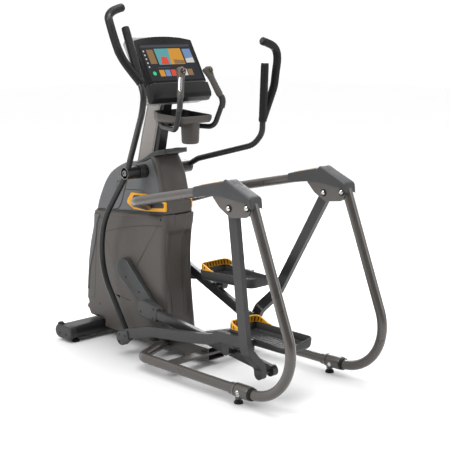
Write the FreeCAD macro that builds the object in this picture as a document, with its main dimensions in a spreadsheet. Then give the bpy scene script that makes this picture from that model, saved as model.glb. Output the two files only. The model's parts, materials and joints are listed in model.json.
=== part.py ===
import FreeCAD, Part
import math
import os
import Sketcher
from FreeCAD import Placement, Rotation, Vector

# Rear-suspended elliptical trainer, millimetres.
# X points to the user's right, Y forward to the console, Z up.
# The origin is on the floor under the middle of the machine.

doc = FreeCAD.newDocument("EllipticalTrainer")
sheet = doc.addObject("Spreadsheet::Sheet", "Sizes")

DRIVING = [
    # frame rails
    ("rail_spacing", 335.0), ("rail_diameter", 51.0), ("rail_wall", 3.0),
    ("rail_height", 66.0), ("sleeve_diameter", 60.0), ("plate_thickness", 5.0),
    ("plate_offset", 25.5), ("bolt_diameter", 14.0), ("bolt_head_diameter", 21.0),
    ("foot_diameter", 46.0), ("foot_height", 16.0), ("stem_diameter", 12.0),
    ("beam_width", 118.0), ("beam_height", 70.0), ("beam_wall", 4.0),
    ("stabilizer_length", 596.0), ("stabilizer_depth", 150.0), ("stabilizer_height", 72.0),
    # linkage
    ("crank_radius", 283.0), ("crank_angle", 218.0), ("crank_axle_y", 540.0),
    ("crank_axle_z", 443.0), ("link_length", 956.5), ("swing_length", 812.0),
    ("swing_pivot_y", -530.0), ("swing_pivot_z", 948.0), ("handle_pivot_y", 402.0),
    ("handle_pivot_z", 1004.0), ("handle_reach", 904.0), ("pedal_pivot_along", 266.0),
    ("pedal_pivot_above", 20.0), ("pedal_arm_length", 788.0),
    # lateral layers, measured outwards from the middle plane
    ("crank_arm_inner", 116.0), ("crank_arm_width", 18.0),
    ("link_inner", 156.0), ("link_width", 34.0), ("handle_plane", 213.0),
    ("handle_diameter", 32.0), ("pedal_arm_inner", 236.0), ("pedal_arm_width", 28.0),
    ("swing_width", 30.0), ("swing_depth", 54.0), ("pin_diameter", 20.0),
    ("running_gap", 0.05), ("axle_diameter", 30.0),
    # pedal
    ("pedal_inner", 30.0), ("pedal_width", 204.0), ("pedal_length", 400.0),
    ("pedal_height", 46.0),
    # tower
    ("shroud_half_width", 110.0), ("tower_half_width", 92.0), ("shell_wall", 3.0),
    ("spine_half_width", 46.0), ("chassis_half_width", 46.0),
    ("pulley_diameter", 330.0), ("pulley_width", 18.0), ("flywheel_diameter", 250.0),
    ("flywheel_width", 22.0), ("flywheel_y", 375.0), ("flywheel_z", 250.0),
    ("small_pulley_diameter", 50.0), ("belt_thickness", 3.0),
    # console and rests
    ("console_half_width", 206.0), ("console_tilt", 31.0), ("grip_diameter", 28.0),
    ("sleeve_grip_diameter", 36.0), ("holder_diameter", 100.0), ("wheel_diameter", 50.0),
    ("wheel_width", 22.0),
]
for row, (alias, value) in enumerate(DRIVING, 1):
    sheet.set("A%d" % row, alias)
    sheet.set("B%d" % row, str(value))
    sheet.setAlias("B%d" % row, alias)
doc.recompute()


def size(alias):
    return float(sheet.get(alias))


def bind(target, **rows):
    # ties each named property to a spreadsheet expression
    for name, text in rows.items():
        target.setExpression(name, text)


SUBPARTS = []


def sub_part(thing, label):
    thing.Label = label
    SUBPARTS.append(thing)
    return thing


# ---------------------------------------------------------------- outlines

def rounded(corners):
    """Edges of a closed outline: straight runs, with a tangent arc at each corner that has a radius.

    A corner is (u, v) or (u, v, radius)."""
    count = len(corners)
    spans = []
    for index in range(count):
        here = Vector(corners[index][0], corners[index][1], 0)
        before = Vector(corners[index - 1][0], corners[index - 1][1], 0)
        after = Vector(corners[(index + 1) % count][0], corners[(index + 1) % count][1], 0)
        radius = corners[index][2] if len(corners[index]) > 2 else 0.0
        spans.append(corner_arc(before, here, after, radius))
    edges = []
    for index in range(count):
        start, middle, end = spans[index]
        if middle is not None:
            edges.append(Part.Arc(start, middle, end))
        following = spans[(index + 1) % count][0]
        if end.distanceToPoint(following) > 1e-4:
            edges.append(Part.LineSegment(end, following))
    return edges


def corner_arc(before, here, after, radius):
    if radius <= 0:
        return here, None, here
    back = (before - here).normalize()
    ahead = (after - here).normalize()
    half = back.getAngle(ahead) / 2
    run = radius / math.tan(half)
    bisector = (back + ahead).normalize()
    middle = here + bisector * (radius / math.sin(half) - radius)
    return here + back * run, middle, here + ahead * run


def route(points):
    """Open wire through 3-D points: straight runs and tangent arcs; a point is (x, y, z, radius)."""
    vectors = [Vector(*point[:3]) for point in points]
    edges = []
    last = vectors[0]
    for index in range(1, len(points) - 1):
        start, middle, end = corner_arc(vectors[index - 1], vectors[index], vectors[index + 1],
                                        points[index][3])
        edges.append(Part.LineSegment(last, start).toShape())
        edges.append(Part.Arc(start, middle, end).toShape())
        last = end
    edges.append(Part.LineSegment(last, vectors[-1]).toShape())
    return Part.Wire(edges)


def rod(points, diameter):
    """Solid round bar along a route."""
    wire = route(points)
    start = Vector(*points[0][:3])
    ahead = Vector(*points[1][:3]) - start
    ring = Part.Wire([Part.Circle(start, ahead, diameter / 2).toShape()])
    return wire.makePipeShell([ring], True, False)


def tube(points, diameter, wall):
    """Round tube along a route, open at both ends."""
    return rod(points, diameter).cut(rod(points, diameter - 2 * wall))


def prism(corners, x_low, x_high):
    """Solid with a (y, z) outline between two x planes."""
    edges = [edge.toShape() for edge in rounded(corners)]
    face = Part.Face(Part.Wire(Part.__sortEdges__(edges)))
    turn = FreeCAD.Matrix(0, 0, 1, x_low, 1, 0, 0, 0, 0, 1, 0, 0, 0, 0, 0, 1)
    return face.transformGeometry(turn).extrude(Vector(x_high - x_low, 0, 0))


def bar_x(radius, x_low, x_high, y, z):
    """Round bar along X."""
    return Part.makeCylinder(radius, x_high - x_low, Vector(x_low, y, z), Vector(1, 0, 0))


def block(x_low, x_high, y_low, y_high, z_low, z_high):
    return Part.makeBox(x_high - x_low, y_high - y_low, z_high - z_low, Vector(x_low, y_low, z_low))


def mirrored(shape):
    return shape.mirror(Vector(0, 0, 0), Vector(1, 0, 0))


def both_sides(shape):
    return Part.makeCompound([shape, mirrored(shape)])


def feature(label, shape, placement=None):
    """Part feature for a piece that sketches and primitives can't make."""
    thing = doc.addObject("Part::Feature", label)
    thing.Shape = shape
    if placement is not None:
        thing.Placement = placement
    return sub_part(thing, label)


# ---------------------------------------------------------------- sketched bodies

def sketch_on(body, role, name, offset=Placement()):
    sketch = body.newObject("Sketcher::SketchObject", name)
    plane = [item for item in body.Origin.OriginFeatures if item.Role == role][0]
    sketch.AttachmentSupport = [(plane, "")]
    sketch.MapMode = "FlatFace"
    sketch.AttachmentOffset = offset
    return sketch


def circle_sketch(body, role, name, diameter_alias, at=(0, 0), offset=Placement()):
    sketch = sketch_on(body, role, name, offset)
    ring = sketch.addGeometry(Part.Circle(Vector(at[0], at[1], 0), Vector(0, 0, 1), 5), False)
    sketch.addConstraint(Sketcher.Constraint("Diameter", ring, 10))
    sketch.setExpression("Constraints[0]", "Sizes." + diameter_alias)
    sketch.addConstraint(Sketcher.Constraint("DistanceX", -1, 1, ring, 3, at[0]))
    sketch.addConstraint(Sketcher.Constraint("DistanceY", -1, 1, ring, 3, at[1]))
    return sketch


def outline_sketch(body, role, name, corners, offset=Placement()):
    sketch = sketch_on(body, role, name, offset)
    for edge in rounded(corners):
        sketch.addGeometry(edge, False)
    return sketch


def pad(body, sketch, name, length, midplane=False, reverse=False):
    feature_pad = body.newObject("PartDesign::Pad", name)
    feature_pad.Profile = sketch
    feature_pad.setExpression("Length", length)
    feature_pad.Midplane = midplane
    feature_pad.Reversed = reverse
    return feature_pad


def pocket(body, sketch, name, length=None, midplane=False, reverse=False):
    cut = body.newObject("PartDesign::Pocket", name)
    cut.Profile = sketch
    if length is None:
        cut.Type = "ThroughAll"
    else:
        cut.setExpression("Length", length)
    cut.Midplane = midplane
    cut.Reversed = reverse
    return cut


def new_body(name):
    return doc.addObject("PartDesign::Body", name)


def mirror_of(source, name):
    twin = doc.addObject("Part::Mirroring", name)
    twin.Source = source
    twin.Normal = Vector(1, 0, 0)
    twin.Base = Vector(0, 0, 0)
    return twin


def group_of(label, *members):
    group = doc.addObject("Part::Compound", label)
    group.Links = list(members)
    return sub_part(group, label)


def shifted(distance):
    # offset of a sketch along its plane's normal
    return Placement(Vector(0, 0, distance), Rotation())


# ---------------------------------------------------------------- linkage geometry

def meet(centre_one, reach_one, centre_two, reach_two, side):
    """Point at two given distances from two centres, on the chosen side of the line between them."""
    gap_y = centre_two[0] - centre_one[0]
    gap_z = centre_two[1] - centre_one[1]
    gap = math.hypot(gap_y, gap_z)
    along = (gap * gap + reach_one ** 2 - reach_two ** 2) / (2 * gap)
    off = side * math.sqrt(reach_one ** 2 - along ** 2)
    return (centre_one[0] + (along * gap_y - off * gap_z) / gap,
            centre_one[1] + (along * gap_z + off * gap_y) / gap)


def linkage(crank_degrees):
    """Closed pose of one side: pins of the crank, link, swing arm, pedal arm and handle."""
    axle = (size("crank_axle_y"), size("crank_axle_z"))
    turn = math.radians(crank_degrees)
    pin = (axle[0] + size("crank_radius") * math.cos(turn),
           axle[1] + size("crank_radius") * math.sin(turn))
    swing_top = (size("swing_pivot_y"), size("swing_pivot_z"))
    rear = meet(pin, size("link_length"), swing_top, size("swing_length"), 1)
    slope = math.atan2(pin[1] - rear[1], pin[0] - rear[0])
    along = size("pedal_pivot_along")
    above = size("pedal_pivot_above")
    knee = (rear[0] + along * math.cos(slope) - above * math.sin(slope),
            rear[1] + along * math.sin(slope) + above * math.cos(slope))
    handle_top = (size("handle_pivot_y"), size("handle_pivot_z"))
    foot = meet(knee, size("pedal_arm_length"), handle_top, size("handle_reach"), -1)
    return {
        "pin": pin, "rear": rear, "knee": knee, "foot": foot,
        "crank": turn, "link": slope,
        "swing": math.atan2(rear[1] - swing_top[1], rear[0] - swing_top[0]),
        "pedal": math.atan2(foot[1] - knee[1], foot[0] - knee[0]),
        "handle": math.atan2(foot[1] - handle_top[1], foot[0] - handle_top[0]),
    }


def pose(point, angle):
    """Placement of a piece drawn with its pivot at the origin, turned about X."""
    return Placement(Vector(0, point[0], point[1]), Rotation(Vector(1, 0, 0), math.degrees(angle)))


AXLE = (size("crank_axle_y"), size("crank_axle_z"))
SWING_TOP = (size("swing_pivot_y"), size("swing_pivot_z"))
HANDLE_TOP = (size("handle_pivot_y"), size("handle_pivot_z"))
SIDES = {"left": linkage(size("crank_angle")), "right": linkage(size("crank_angle") - 180)}
REST = SIDES["left"]
GAP = size("running_gap")
RAIL = size("rail_spacing")


def side_pair(name, shape, pivot, angle, drawn_at=0.0):
    """The left piece and its mirror image, each at its own pose.

    The shape is drawn for the left side, where x is negative, with its pivot at the origin."""
    for side, state in SIDES.items():
        drawn = shape if side == "left" else mirrored(shape)
        point = state[pivot] if isinstance(pivot, str) else pivot
        feature(name + "_" + side, drawn, pose(point, state[angle] - drawn_at))



# ---------------------------------------------------------------- base frame

BEAM_LOW = 30.0
BEAM_REAR = -60.0
STABILIZER = (850.0, 55.0)
FRONT_FOOT = (285.0, 806.0)
REAR_FOOT_Y = -566.0
REAR_BOLT = (-648.0, 964.0)
WHEEL_Y = 892.0
WHEEL_Z = 82.0
SLEEVE_REAR = -652.0
SLEEVE_FRONT = -520.0


def flat_oval(depth, height):
    low_y = STABILIZER[0] - depth / 2
    low_z = STABILIZER[1] - height / 2
    radius = height / 2 - 0.1
    return [(low_y, low_z, radius), (low_y + depth, low_z, radius),
            (low_y + depth, low_z + height, radius), (low_y, low_z + height, radius)]


def make_base_frame():
    outer = doc.addObject("Part::Box", "beam_outer")
    bind(outer, Width="Sizes.stabilizer_depth + 685", Length="Sizes.beam_width", Height="Sizes.beam_height")
    outer.Placement = Placement(Vector(-size("beam_width") / 2, BEAM_REAR, BEAM_LOW), Rotation())
    inner = doc.addObject("Part::Box", "beam_core")
    bind(inner, Width="Sizes.stabilizer_depth + 685", Length="Sizes.beam_width - 2 * Sizes.beam_wall",
         Height="Sizes.beam_height - 2 * Sizes.beam_wall")
    wall = size("beam_wall")
    hollow_corner = Vector(wall - size("beam_width") / 2, BEAM_REAR - 1, BEAM_LOW + wall)
    inner.Placement = Placement(hollow_corner, Rotation())
    beam = doc.addObject("Part::Cut", "beam_tube")
    beam.Base = outer
    beam.Tool = inner
    bar = doc.addObject("Part::Box", "cross_bar")
    bind(bar, Length="2 * Sizes.rail_spacing - Sizes.rail_diameter", Width="60", Height="14")
    bar.Placement = Placement(Vector(-RAIL + size("rail_diameter") / 2, BEAM_REAR, 59), Rotation())
    joined = doc.addObject("Part::MultiFuse", "beam_and_bar")
    joined.Shapes = [beam, bar]
    body = new_body("stabilizer_solid")
    outline = outline_sketch(body, "YZ_Plane", "stabilizer_section",
                             flat_oval(size("stabilizer_depth"), size("stabilizer_height")))
    pad(body, outline, "stabilizer_length_pad", "Sizes.stabilizer_length", midplane=True)
    frame = doc.addObject("Part::Cut", "base_frame")
    frame.Base = joined
    frame.Tool = body
    sub_part(frame, "base_frame")


def make_stabilizer():
    body = new_body("stabilizer_tube")
    outer = outline_sketch(body, "YZ_Plane", "stabilizer_outline",
                           flat_oval(size("stabilizer_depth"), size("stabilizer_height")))
    pad(body, outer, "stabilizer_pad", "Sizes.stabilizer_length", midplane=True)
    inner = outline_sketch(body, "YZ_Plane", "stabilizer_core",
                           flat_oval(size("stabilizer_depth") - 7, size("stabilizer_height") - 7))
    pocket(body, inner, "stabilizer_bore", "Sizes.stabilizer_length + 4", midplane=True)
    holes = sketch_on(body, "XY_Plane", "stem_holes")
    for x in (-FRONT_FOOT[0], FRONT_FOOT[0]):
        holes.addGeometry(Part.Circle(Vector(x, FRONT_FOOT[1], 0), Vector(0, 0, 1),
                                      size("stem_diameter") / 2 + 0.2), False)
    pocket(body, holes, "stem_bores", "Sizes.stabilizer_height / 2 + 10", reverse=True)
    sub_part(body, "front_stabilizer")


def make_stabilizer_caps():
    half = size("stabilizer_length") / 2
    corners = flat_oval(size("stabilizer_depth") + 6, size("stabilizer_height") + 6)
    cap = prism(corners, -half - 42, -half)
    rims = [edge for edge in cap.Edges if abs(edge.BoundBox.XMin + half + 42) < 0.01
            and edge.BoundBox.XLength < 0.01]
    cap = cap.makeFillet(9, rims)
    slot = block(-half - 35, -half - 9, WHEEL_Y - 30, WHEEL_Y + 70, WHEEL_Z - 30, WHEEL_Z + 60)
    pin = bar_x(4, -half - 35, -half - 9, WHEEL_Y, WHEEL_Z)
    feature("stabilizer_end_caps", both_sides(cap.cut(slot).fuse(pin)))


def make_transport_wheels():
    half = size("stabilizer_length") / 2
    width = size("wheel_width")
    radius = size("wheel_diameter") / 2
    for side, sign in (("left", -1), ("right", 1)):
        body = new_body("wheel_body_" + side)
        ring = sketch_on(body, "XY_Plane", "wheel_section_" + side)
        section = [(-width / 2, 4.08), (width / 2, 4.08), (width / 2, radius, 3), (-width / 2, radius, 3)]
        for edge in rounded(section):
            ring.addGeometry(edge, False)
        turn = body.newObject("PartDesign::Revolution", "wheel_turn_" + side)
        turn.Profile = ring
        turn.ReferenceAxis = (ring, ["H_Axis"])
        turn.Angle = 360
        body.Placement = Placement(Vector(sign * (half + 22), WHEEL_Y, WHEEL_Z), Rotation())
        sub_part(body, "transport_wheel_" + side)


def make_lower_rail():
    """One lower rail: straight from the clamp sleeve, bent in to the beam, sleeve and foot boss welded on."""
    body = new_body("rail_pipe")
    spine = sketch_on(body, "XY_Plane", "rail_path", shifted(size("rail_height")))
    start = Vector(-RAIL, -544, 0)
    corner = Vector(-RAIL, 160, 0)
    finish = Vector(-40, 285, 0)
    arc_from, arc_mid, arc_to = corner_arc(start, corner, finish, 62)
    spine.addGeometry(Part.LineSegment(start, arc_from), False)
    spine.addGeometry(Part.Arc(arc_from, arc_mid, arc_to), False)
    spine.addGeometry(Part.LineSegment(arc_to, finish), False)
    ring = circle_sketch(body, "XZ_Plane", "rail_section", "rail_diameter",
                         at=(-RAIL, size("rail_height")), offset=shifted(544))
    bore = ring.addGeometry(Part.Circle(Vector(-RAIL, size("rail_height"), 0), Vector(0, 0, 1), 22.5), False)
    ring.addConstraint(Sketcher.Constraint("Diameter", bore, 45))
    ring.setExpression("Constraints[3]", "Sizes.rail_diameter - 2 * Sizes.rail_wall")
    ring.addConstraint(Sketcher.Constraint("Coincident", 0, 3, bore, 3))
    pipe = body.newObject("PartDesign::AdditivePipe", "rail_sweep")
    pipe.Profile = ring
    pipe.Spine = spine
    doc.recompute()
    height = size("rail_height")
    sleeve_radius = size("sleeve_diameter") / 2
    sleeve = Part.makeCylinder(sleeve_radius, SLEEVE_FRONT - SLEEVE_REAR,
                               Vector(-RAIL, SLEEVE_REAR, height), Vector(0, 1, 0))
    rear_bore = Part.makeCylinder(size("rail_diameter") / 2 + 0.2, -546 - SLEEVE_REAR,
                                  Vector(-RAIL, SLEEVE_REAR, height), Vector(0, 1, 0))
    front_bore = Part.makeCylinder(size("rail_diameter") / 2 - size("rail_wall"), 30,
                                   Vector(-RAIL, -546, height), Vector(0, 1, 0))
    boss = Part.makeCylinder(17, 30, Vector(-RAIL, REAR_FOOT_Y, 24))
    rail = sleeve.fuse(boss).fuse(body.Shape).removeSplitter()
    rail = rail.cut(rear_bore).cut(front_bore)
    rail = rail.cut(Part.makeCylinder(size("stem_diameter") / 2 + 0.2, 30, Vector(-RAIL, REAR_FOOT_Y, 8)))
    rail = rail.cut(block(-size("beam_width") / 2, 0, 0, 400, 0, 200))
    return rail.cut(bar_x(size("bolt_diameter") / 2 + 0.1, -RAIL - 40, -RAIL + 40, -592, 56))


def make_lower_rails():
    feature("lower_rails", both_sides(make_lower_rail()))


def make_rear_loops():
    """Rear legs: down from the bracket, round the big bottom bend, into the clamp sleeves."""
    body = new_body("loop_left")
    spine = sketch_on(body, "YZ_Plane", "loop_path", shifted(-RAIL))
    start = Vector(-548, size("rail_height"), 0)
    corner = Vector(-1012, size("rail_height"), 0)
    finish = Vector(-655, 978, 0)
    arc_from, arc_mid, arc_to = corner_arc(start, corner, finish, 240)
    spine.addGeometry(Part.LineSegment(start, arc_from), False)
    spine.addGeometry(Part.Arc(arc_from, arc_mid, arc_to), False)
    spine.addGeometry(Part.LineSegment(arc_to, finish), False)
    ring = circle_sketch(body, "XZ_Plane", "loop_section", "rail_diameter",
                         at=(-RAIL, size("rail_height")), offset=shifted(548))
    bore = ring.addGeometry(Part.Circle(Vector(-RAIL, size("rail_height"), 0), Vector(0, 0, 1), 22.5), False)
    ring.addConstraint(Sketcher.Constraint("Diameter", bore, 45))
    ring.setExpression("Constraints[3]", "Sizes.rail_diameter - 2 * Sizes.rail_wall")
    ring.addConstraint(Sketcher.Constraint("Coincident", 0, 3, bore, 3))
    pipe = body.newObject("PartDesign::AdditivePipe", "loop_sweep")
    pipe.Profile = ring
    pipe.Spine = spine
    doc.recompute()
    reach = size("bolt_diameter") / 2 + 0.1
    drilled = body.Shape.cut(bar_x(reach, -RAIL - 40, -RAIL + 40, REAR_BOLT[0], REAR_BOLT[1]))
    drilled = drilled.cut(bar_x(reach, -RAIL - 40, -RAIL + 40, -592, 56))
    feature("rear_loops", both_sides(drilled))


RAIL_CORNER = (200.0, 888.0)
RAIL_END = (-480.0, 1036.5)
RAIL_ENTRY = (411.0, 801.0)


def rail_points():
    plate_face = size("chassis_half_width") + 8
    return [(-plate_face + 8, RAIL_ENTRY[0], RAIL_ENTRY[1]),
            (-RAIL, RAIL_CORNER[0], RAIL_CORNER[1], 95),
            (-RAIL, RAIL_END[0], RAIL_END[1])]


def make_top_rails():
    bent = tube(rail_points(), size("rail_diameter"), size("rail_wall"))
    plate_face = size("chassis_half_width") + 8
    flush = bent.cut(block(-plate_face, 100, 0, 900, 600, 1100))
    feature("top_rails", both_sides(flush))


def make_loop_gaskets():
    height = size("rail_height")
    ring = Part.makeCylinder(size("sleeve_diameter") / 2 + 1.5, 12, Vector(-RAIL, SLEEVE_REAR - 12, height),
                             Vector(0, 1, 0))
    bore = Part.makeCylinder(size("rail_diameter") / 2 + 0.1, 12, Vector(-RAIL, SLEEVE_REAR - 12, height),
                             Vector(0, 1, 0))
    feature("loop_gaskets", both_sides(ring.cut(bore)))


PLATE_OUTLINE = [(-410, 1000, 8), (-465, 945, 60), (-540, 904, 30), (-648, 918, 24), (-668, 945, 12),
                 (-666, 988, 10), (-540, 1016, 30)]


def make_bracket_plates():
    """Two side plates a side, drilled for the swing pivot bolt and the rear leg bolt."""
    plates = []
    for name, inner_face in (("outer_plate", -RAIL - size("plate_offset") - size("plate_thickness")),
                             ("inner_plate", -RAIL + size("plate_offset"))):
        body = new_body(name)
        outline = outline_sketch(body, "YZ_Plane", name + "_outline", PLATE_OUTLINE, shifted(inner_face))
        pad(body, outline, name + "_pad", "Sizes.plate_thickness")
        holes = sketch_on(body, "YZ_Plane", name + "_holes", shifted(inner_face - 1))
        for y, z in (SWING_TOP, REAR_BOLT):
            holes.addGeometry(Part.Circle(Vector(y, z, 0), Vector(0, 0, 1), size("bolt_diameter") / 2), False)
        pocket(body, holes, name + "_drill", "Sizes.plate_thickness + 4", reverse=True)
        plates += [body, mirror_of(body, name + "_right")]
    group_of("bracket_plates", *plates)


def bolt(y, z, x_low, x_high, head=8):
    """Bolt along X with a round socket head outside and a nut inside."""
    radius = size("bolt_head_diameter") / 2
    shank = bar_x(size("bolt_diameter") / 2 - 0.02, x_low, x_high, y, z)
    cap = bar_x(radius, x_low - head, x_low, y, z)
    cap = cap.makeFillet(2.5, [edge for edge in cap.Edges if abs(edge.BoundBox.XMax - x_low + head) < 0.01])
    socket = prism([(y + 5 * math.cos(turn), z + 5 * math.sin(turn))
                    for turn in [index * math.pi / 3 for index in range(6)]],
                   x_low - head - 1, x_low - head + 5)
    nut = bar_x(radius, x_high, x_high + head, y, z)
    return cap.cut(socket).fuse(shank).fuse(nut)


def make_frame_bolts():
    outer = -RAIL - size("plate_offset") - size("plate_thickness")
    inner = -RAIL + size("plate_offset") + size("plate_thickness")
    sleeve = size("sleeve_diameter") / 2
    bolts = [bolt(SWING_TOP[0], SWING_TOP[1], outer, inner), bolt(REAR_BOLT[0], REAR_BOLT[1], outer, inner),
             bolt(-592, 56, -RAIL - sleeve, -RAIL + sleeve, 6)]
    feature("frame_bolts", Part.makeCompound(bolts + [mirrored(item) for item in bolts]))


def make_feet():
    """Four levelling feet: rubber pad and threaded stem."""
    feet = []
    for x, y, top in ((FRONT_FOOT[0], FRONT_FOOT[1], 44.0), (RAIL, REAR_FOOT_Y, 37.5)):
        for side in (-1, 1):
            pad_cone = Part.makeCone(size("foot_diameter") / 2, size("foot_diameter") / 2 - 5,
                                     size("foot_height"), Vector(side * x, y, 0))
            stem = Part.makeCylinder(size("stem_diameter") / 2, top - 10, Vector(side * x, y, 10))
            feet.append(pad_cone.fuse(stem))
    feature("levelling_feet", Part.makeCompound(feet))


# ---------------------------------------------------------------- rail bracket covers

COVER_LINE = [(-288, 976), (-289, 1027, 8), (-497, 1074, 30), (-652, 1006), (-658, 984, 6),
              (-600, 989, 40), (-470, 1001, 60)]
COVER_CORE = [(-292, 960), (-292, 1021, 4), (-497, 1069, 26), (-648, 1002, 8), (-648, 995), (-670, 995),
              (-670, 940)]
END_LINE = [(-497, 1074), (-508, 1084, 6), (-655, 1021, 14), (-748, 978, 8), (-742, 940, 6), (-690, 932, 6),
            (-662, 972), (-658, 984), (-652, 1006)]
COVER_HALF_WIDTH = 38.0


def left_loop_bar():
    return rod([(-RAIL, -655, 978), (-RAIL, -1012, 66, 240), (-RAIL, -548, 66)], size("rail_diameter"))


def left_rail_bar(diameter):
    return rod(rail_points(), diameter)


def long_rims(shape, x_face, z_above=-1e6):
    """Edges of an extruded outline that lie in one x plane."""
    return [edge for edge in shape.Edges
            if edge.BoundBox.XLength < 0.01 and abs(edge.BoundBox.XMin - x_face) < 0.01
            and edge.BoundBox.ZMin > z_above]


def make_bracket_covers():
    outer = prism(COVER_LINE, -RAIL - COVER_HALF_WIDTH, -RAIL + COVER_HALF_WIDTH)
    core = prism(COVER_CORE, -RAIL - COVER_HALF_WIDTH + 3, -RAIL + COVER_HALF_WIDTH - 3)
    cover = outer.cut(core).cut(left_rail_bar(size("rail_diameter")))
    feature("bracket_covers", both_sides(cover))


def make_bracket_end_caps():
    block_cap = prism(END_LINE, -RAIL - COVER_HALF_WIDTH, -RAIL + COVER_HALF_WIDTH)
    plates = block(-RAIL - 31, -RAIL + 31, -673, -400, 800, 1003)
    feature("bracket_end_caps", both_sides(block_cap.cut(plates).cut(left_loop_bar())))


def make_accent_trims():
    """Inlay strip on each bracket cover and a ring where each rail enters the tower."""
    inlay = prism([(-312, 1031.8), (-312, 1034.3), (-482, 1072.7), (-482, 1070.6)], -RAIL - 17, -RAIL + 17)
    inlay = inlay.cut(prism(COVER_LINE, -RAIL - COVER_HALF_WIDTH, -RAIL + COVER_HALF_WIDTH))
    tower = size("tower_half_width")
    ring = bar_x(41, -tower - 8, -tower, 377, 815).cut(left_rail_bar(size("rail_diameter")))
    feature("accent_trims", both_sides(Part.makeCompound([inlay, ring])))

# ---------------------------------------------------------------- linkage pieces

def hull(centre_one, radius_one, centre_two, radius_two, x_low, x_high):
    """Solid round two circles and the straight runs between them."""
    gap_y = centre_two[0] - centre_one[0]
    gap_z = centre_two[1] - centre_one[1]
    gap = math.hypot(gap_y, gap_z)
    lean = math.acos((radius_one - radius_two) / gap)
    along = math.atan2(gap_z, gap_y)
    corners = []
    for centre, radius, turn in ((centre_one, radius_one, lean), (centre_two, radius_two, lean),
                                 (centre_two, radius_two, -lean), (centre_one, radius_one, -lean)):
        corners.append((centre[0] + radius * math.cos(along + turn),
                        centre[1] + radius * math.sin(along + turn)))
    web = prism(corners, x_low, x_high)
    ends = [bar_x(radius_one, x_low, x_high, centre_one[0], centre_one[1]),
            bar_x(radius_two, x_low, x_high, centre_two[0], centre_two[1])]
    return web.multiFuse(ends).removeSplitter()


def tapped(shape, radius, x_low, x_high, at=(0, 0)):
    return shape.cut(bar_x(radius, x_low - 1, x_high + 1, at[0], at[1]))


CRANK_OUTER = -size("crank_arm_inner") - size("crank_arm_width")
PIN = size("pin_diameter") / 2
THROW = (size("crank_radius"), 0)


def make_crank():
    axle = doc.addObject("Part::Cylinder", "axle_bar")
    bind(axle, Radius="Sizes.axle_diameter / 2", Height="2 * (Sizes.crank_arm_inner + Sizes.crank_arm_width)")
    axle.Placement = Placement(Vector(CRANK_OUTER, AXLE[0], AXLE[1]), Rotation(Vector(0, 1, 0), 90))
    sub_part(axle, "crank_axle")
    inner = -size("crank_arm_inner")
    arm = hull((0, 0), 58, THROW, 34, CRANK_OUTER, inner)
    arm = tapped(arm, size("axle_diameter") / 2, CRANK_OUTER, inner)
    arm = arm.fuse(bar_x(PIN, -size("link_inner") - size("link_width") + 1, CRANK_OUTER, *THROW))
    cap = hull((0, 0), 63, THROW, 39, CRANK_OUTER - 14, inner - 2)
    cap = cap.makeFillet(5, long_rims(cap, CRANK_OUTER - 14))
    cap = cap.cut(hull((0, 0), 58.4, THROW, 34.4, CRANK_OUTER - 11, inner))
    cap = cap.cut(bar_x(17, CRANK_OUTER - 20, CRANK_OUTER, *THROW))
    left = pose(AXLE, SIDES["left"]["crank"])
    right = pose(AXLE, SIDES["right"]["crank"])
    for label, shape in (("crank_arms", arm), ("crank_covers", cap)):
        one = shape.copy()
        one.Placement = left
        two = mirrored(shape)
        two.Placement = right.multiply(two.Placement)
        feature(label, Part.makeCompound([one, two]))


def make_links():
    """Foot links between the crank pins and the lower ends of the swing arms."""
    low = -size("link_inner") - size("link_width")
    high = -size("link_inner")
    rear = -size("link_length")
    knee = (rear + size("pedal_pivot_along"), size("pedal_pivot_above"))
    beam = block(low, high, rear, 0, -26, 26)
    beam = beam.makeFillet(7, [edge for edge in beam.Edges if edge.BoundBox.YLength > 100])
    bosses = [bar_x(27, low, high, rear, 0), bar_x(30, low, high, 0, 0), bar_x(23, low, high, *knee)]
    beam = beam.multiFuse(bosses)
    beam = tapped(beam, PIN + GAP, low, high)
    beam = tapped(beam, PIN + GAP, low, high, knee)
    beam = tapped(beam, PIN + GAP, low, high, (rear, 0))
    side_pair("link", beam, "pin", "link")
    drum = prism([(-112, -48, 12), (48, -48, 47.9), (48, 48, 47.9), (-112, 48, 12)], low - 3, high + 5)
    drum = drum.makeFillet(6, long_rims(drum, low - 3))
    drum = drum.cut(prism([(-109, -45, 9), (45, -45, 44.9), (45, 45, 44.9), (-109, 45, 9)], low, high + 2))
    drum = drum.cut(block(low, high + 2, -120, -100, -26, 26))
    drum = drum.cut(bar_x(18, high, high + 10, 0, 0))
    side_pair("link_cover", drum, "pin", "link")


PEDAL_LINE = [(785, -97), (745, -67, 90), (555, -14, 400), (245, 20, 400), (78, 45, 200), (15, 75, 90),
              (-205, 75)]


def banner(points, half_depth, x_low, x_high):
    """Flat bar of constant depth along a (y, z) centre line."""
    upper = []
    lower = []
    for index, point in enumerate(points):
        before = points[max(index - 1, 0)]
        after = points[min(index + 1, len(points) - 1)]
        slope = math.atan2(after[1] - before[1], after[0] - before[0])
        shift = (-half_depth * math.sin(slope), half_depth * math.cos(slope))
        bend = [abs(point[2])] if len(point) > 2 else []
        upper.append((point[0] + shift[0], point[1] + shift[1], *bend))
        lower.append((point[0] - shift[0], point[1] - shift[1], *bend))
    return prism(upper + lower[::-1], x_low, x_high)


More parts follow.
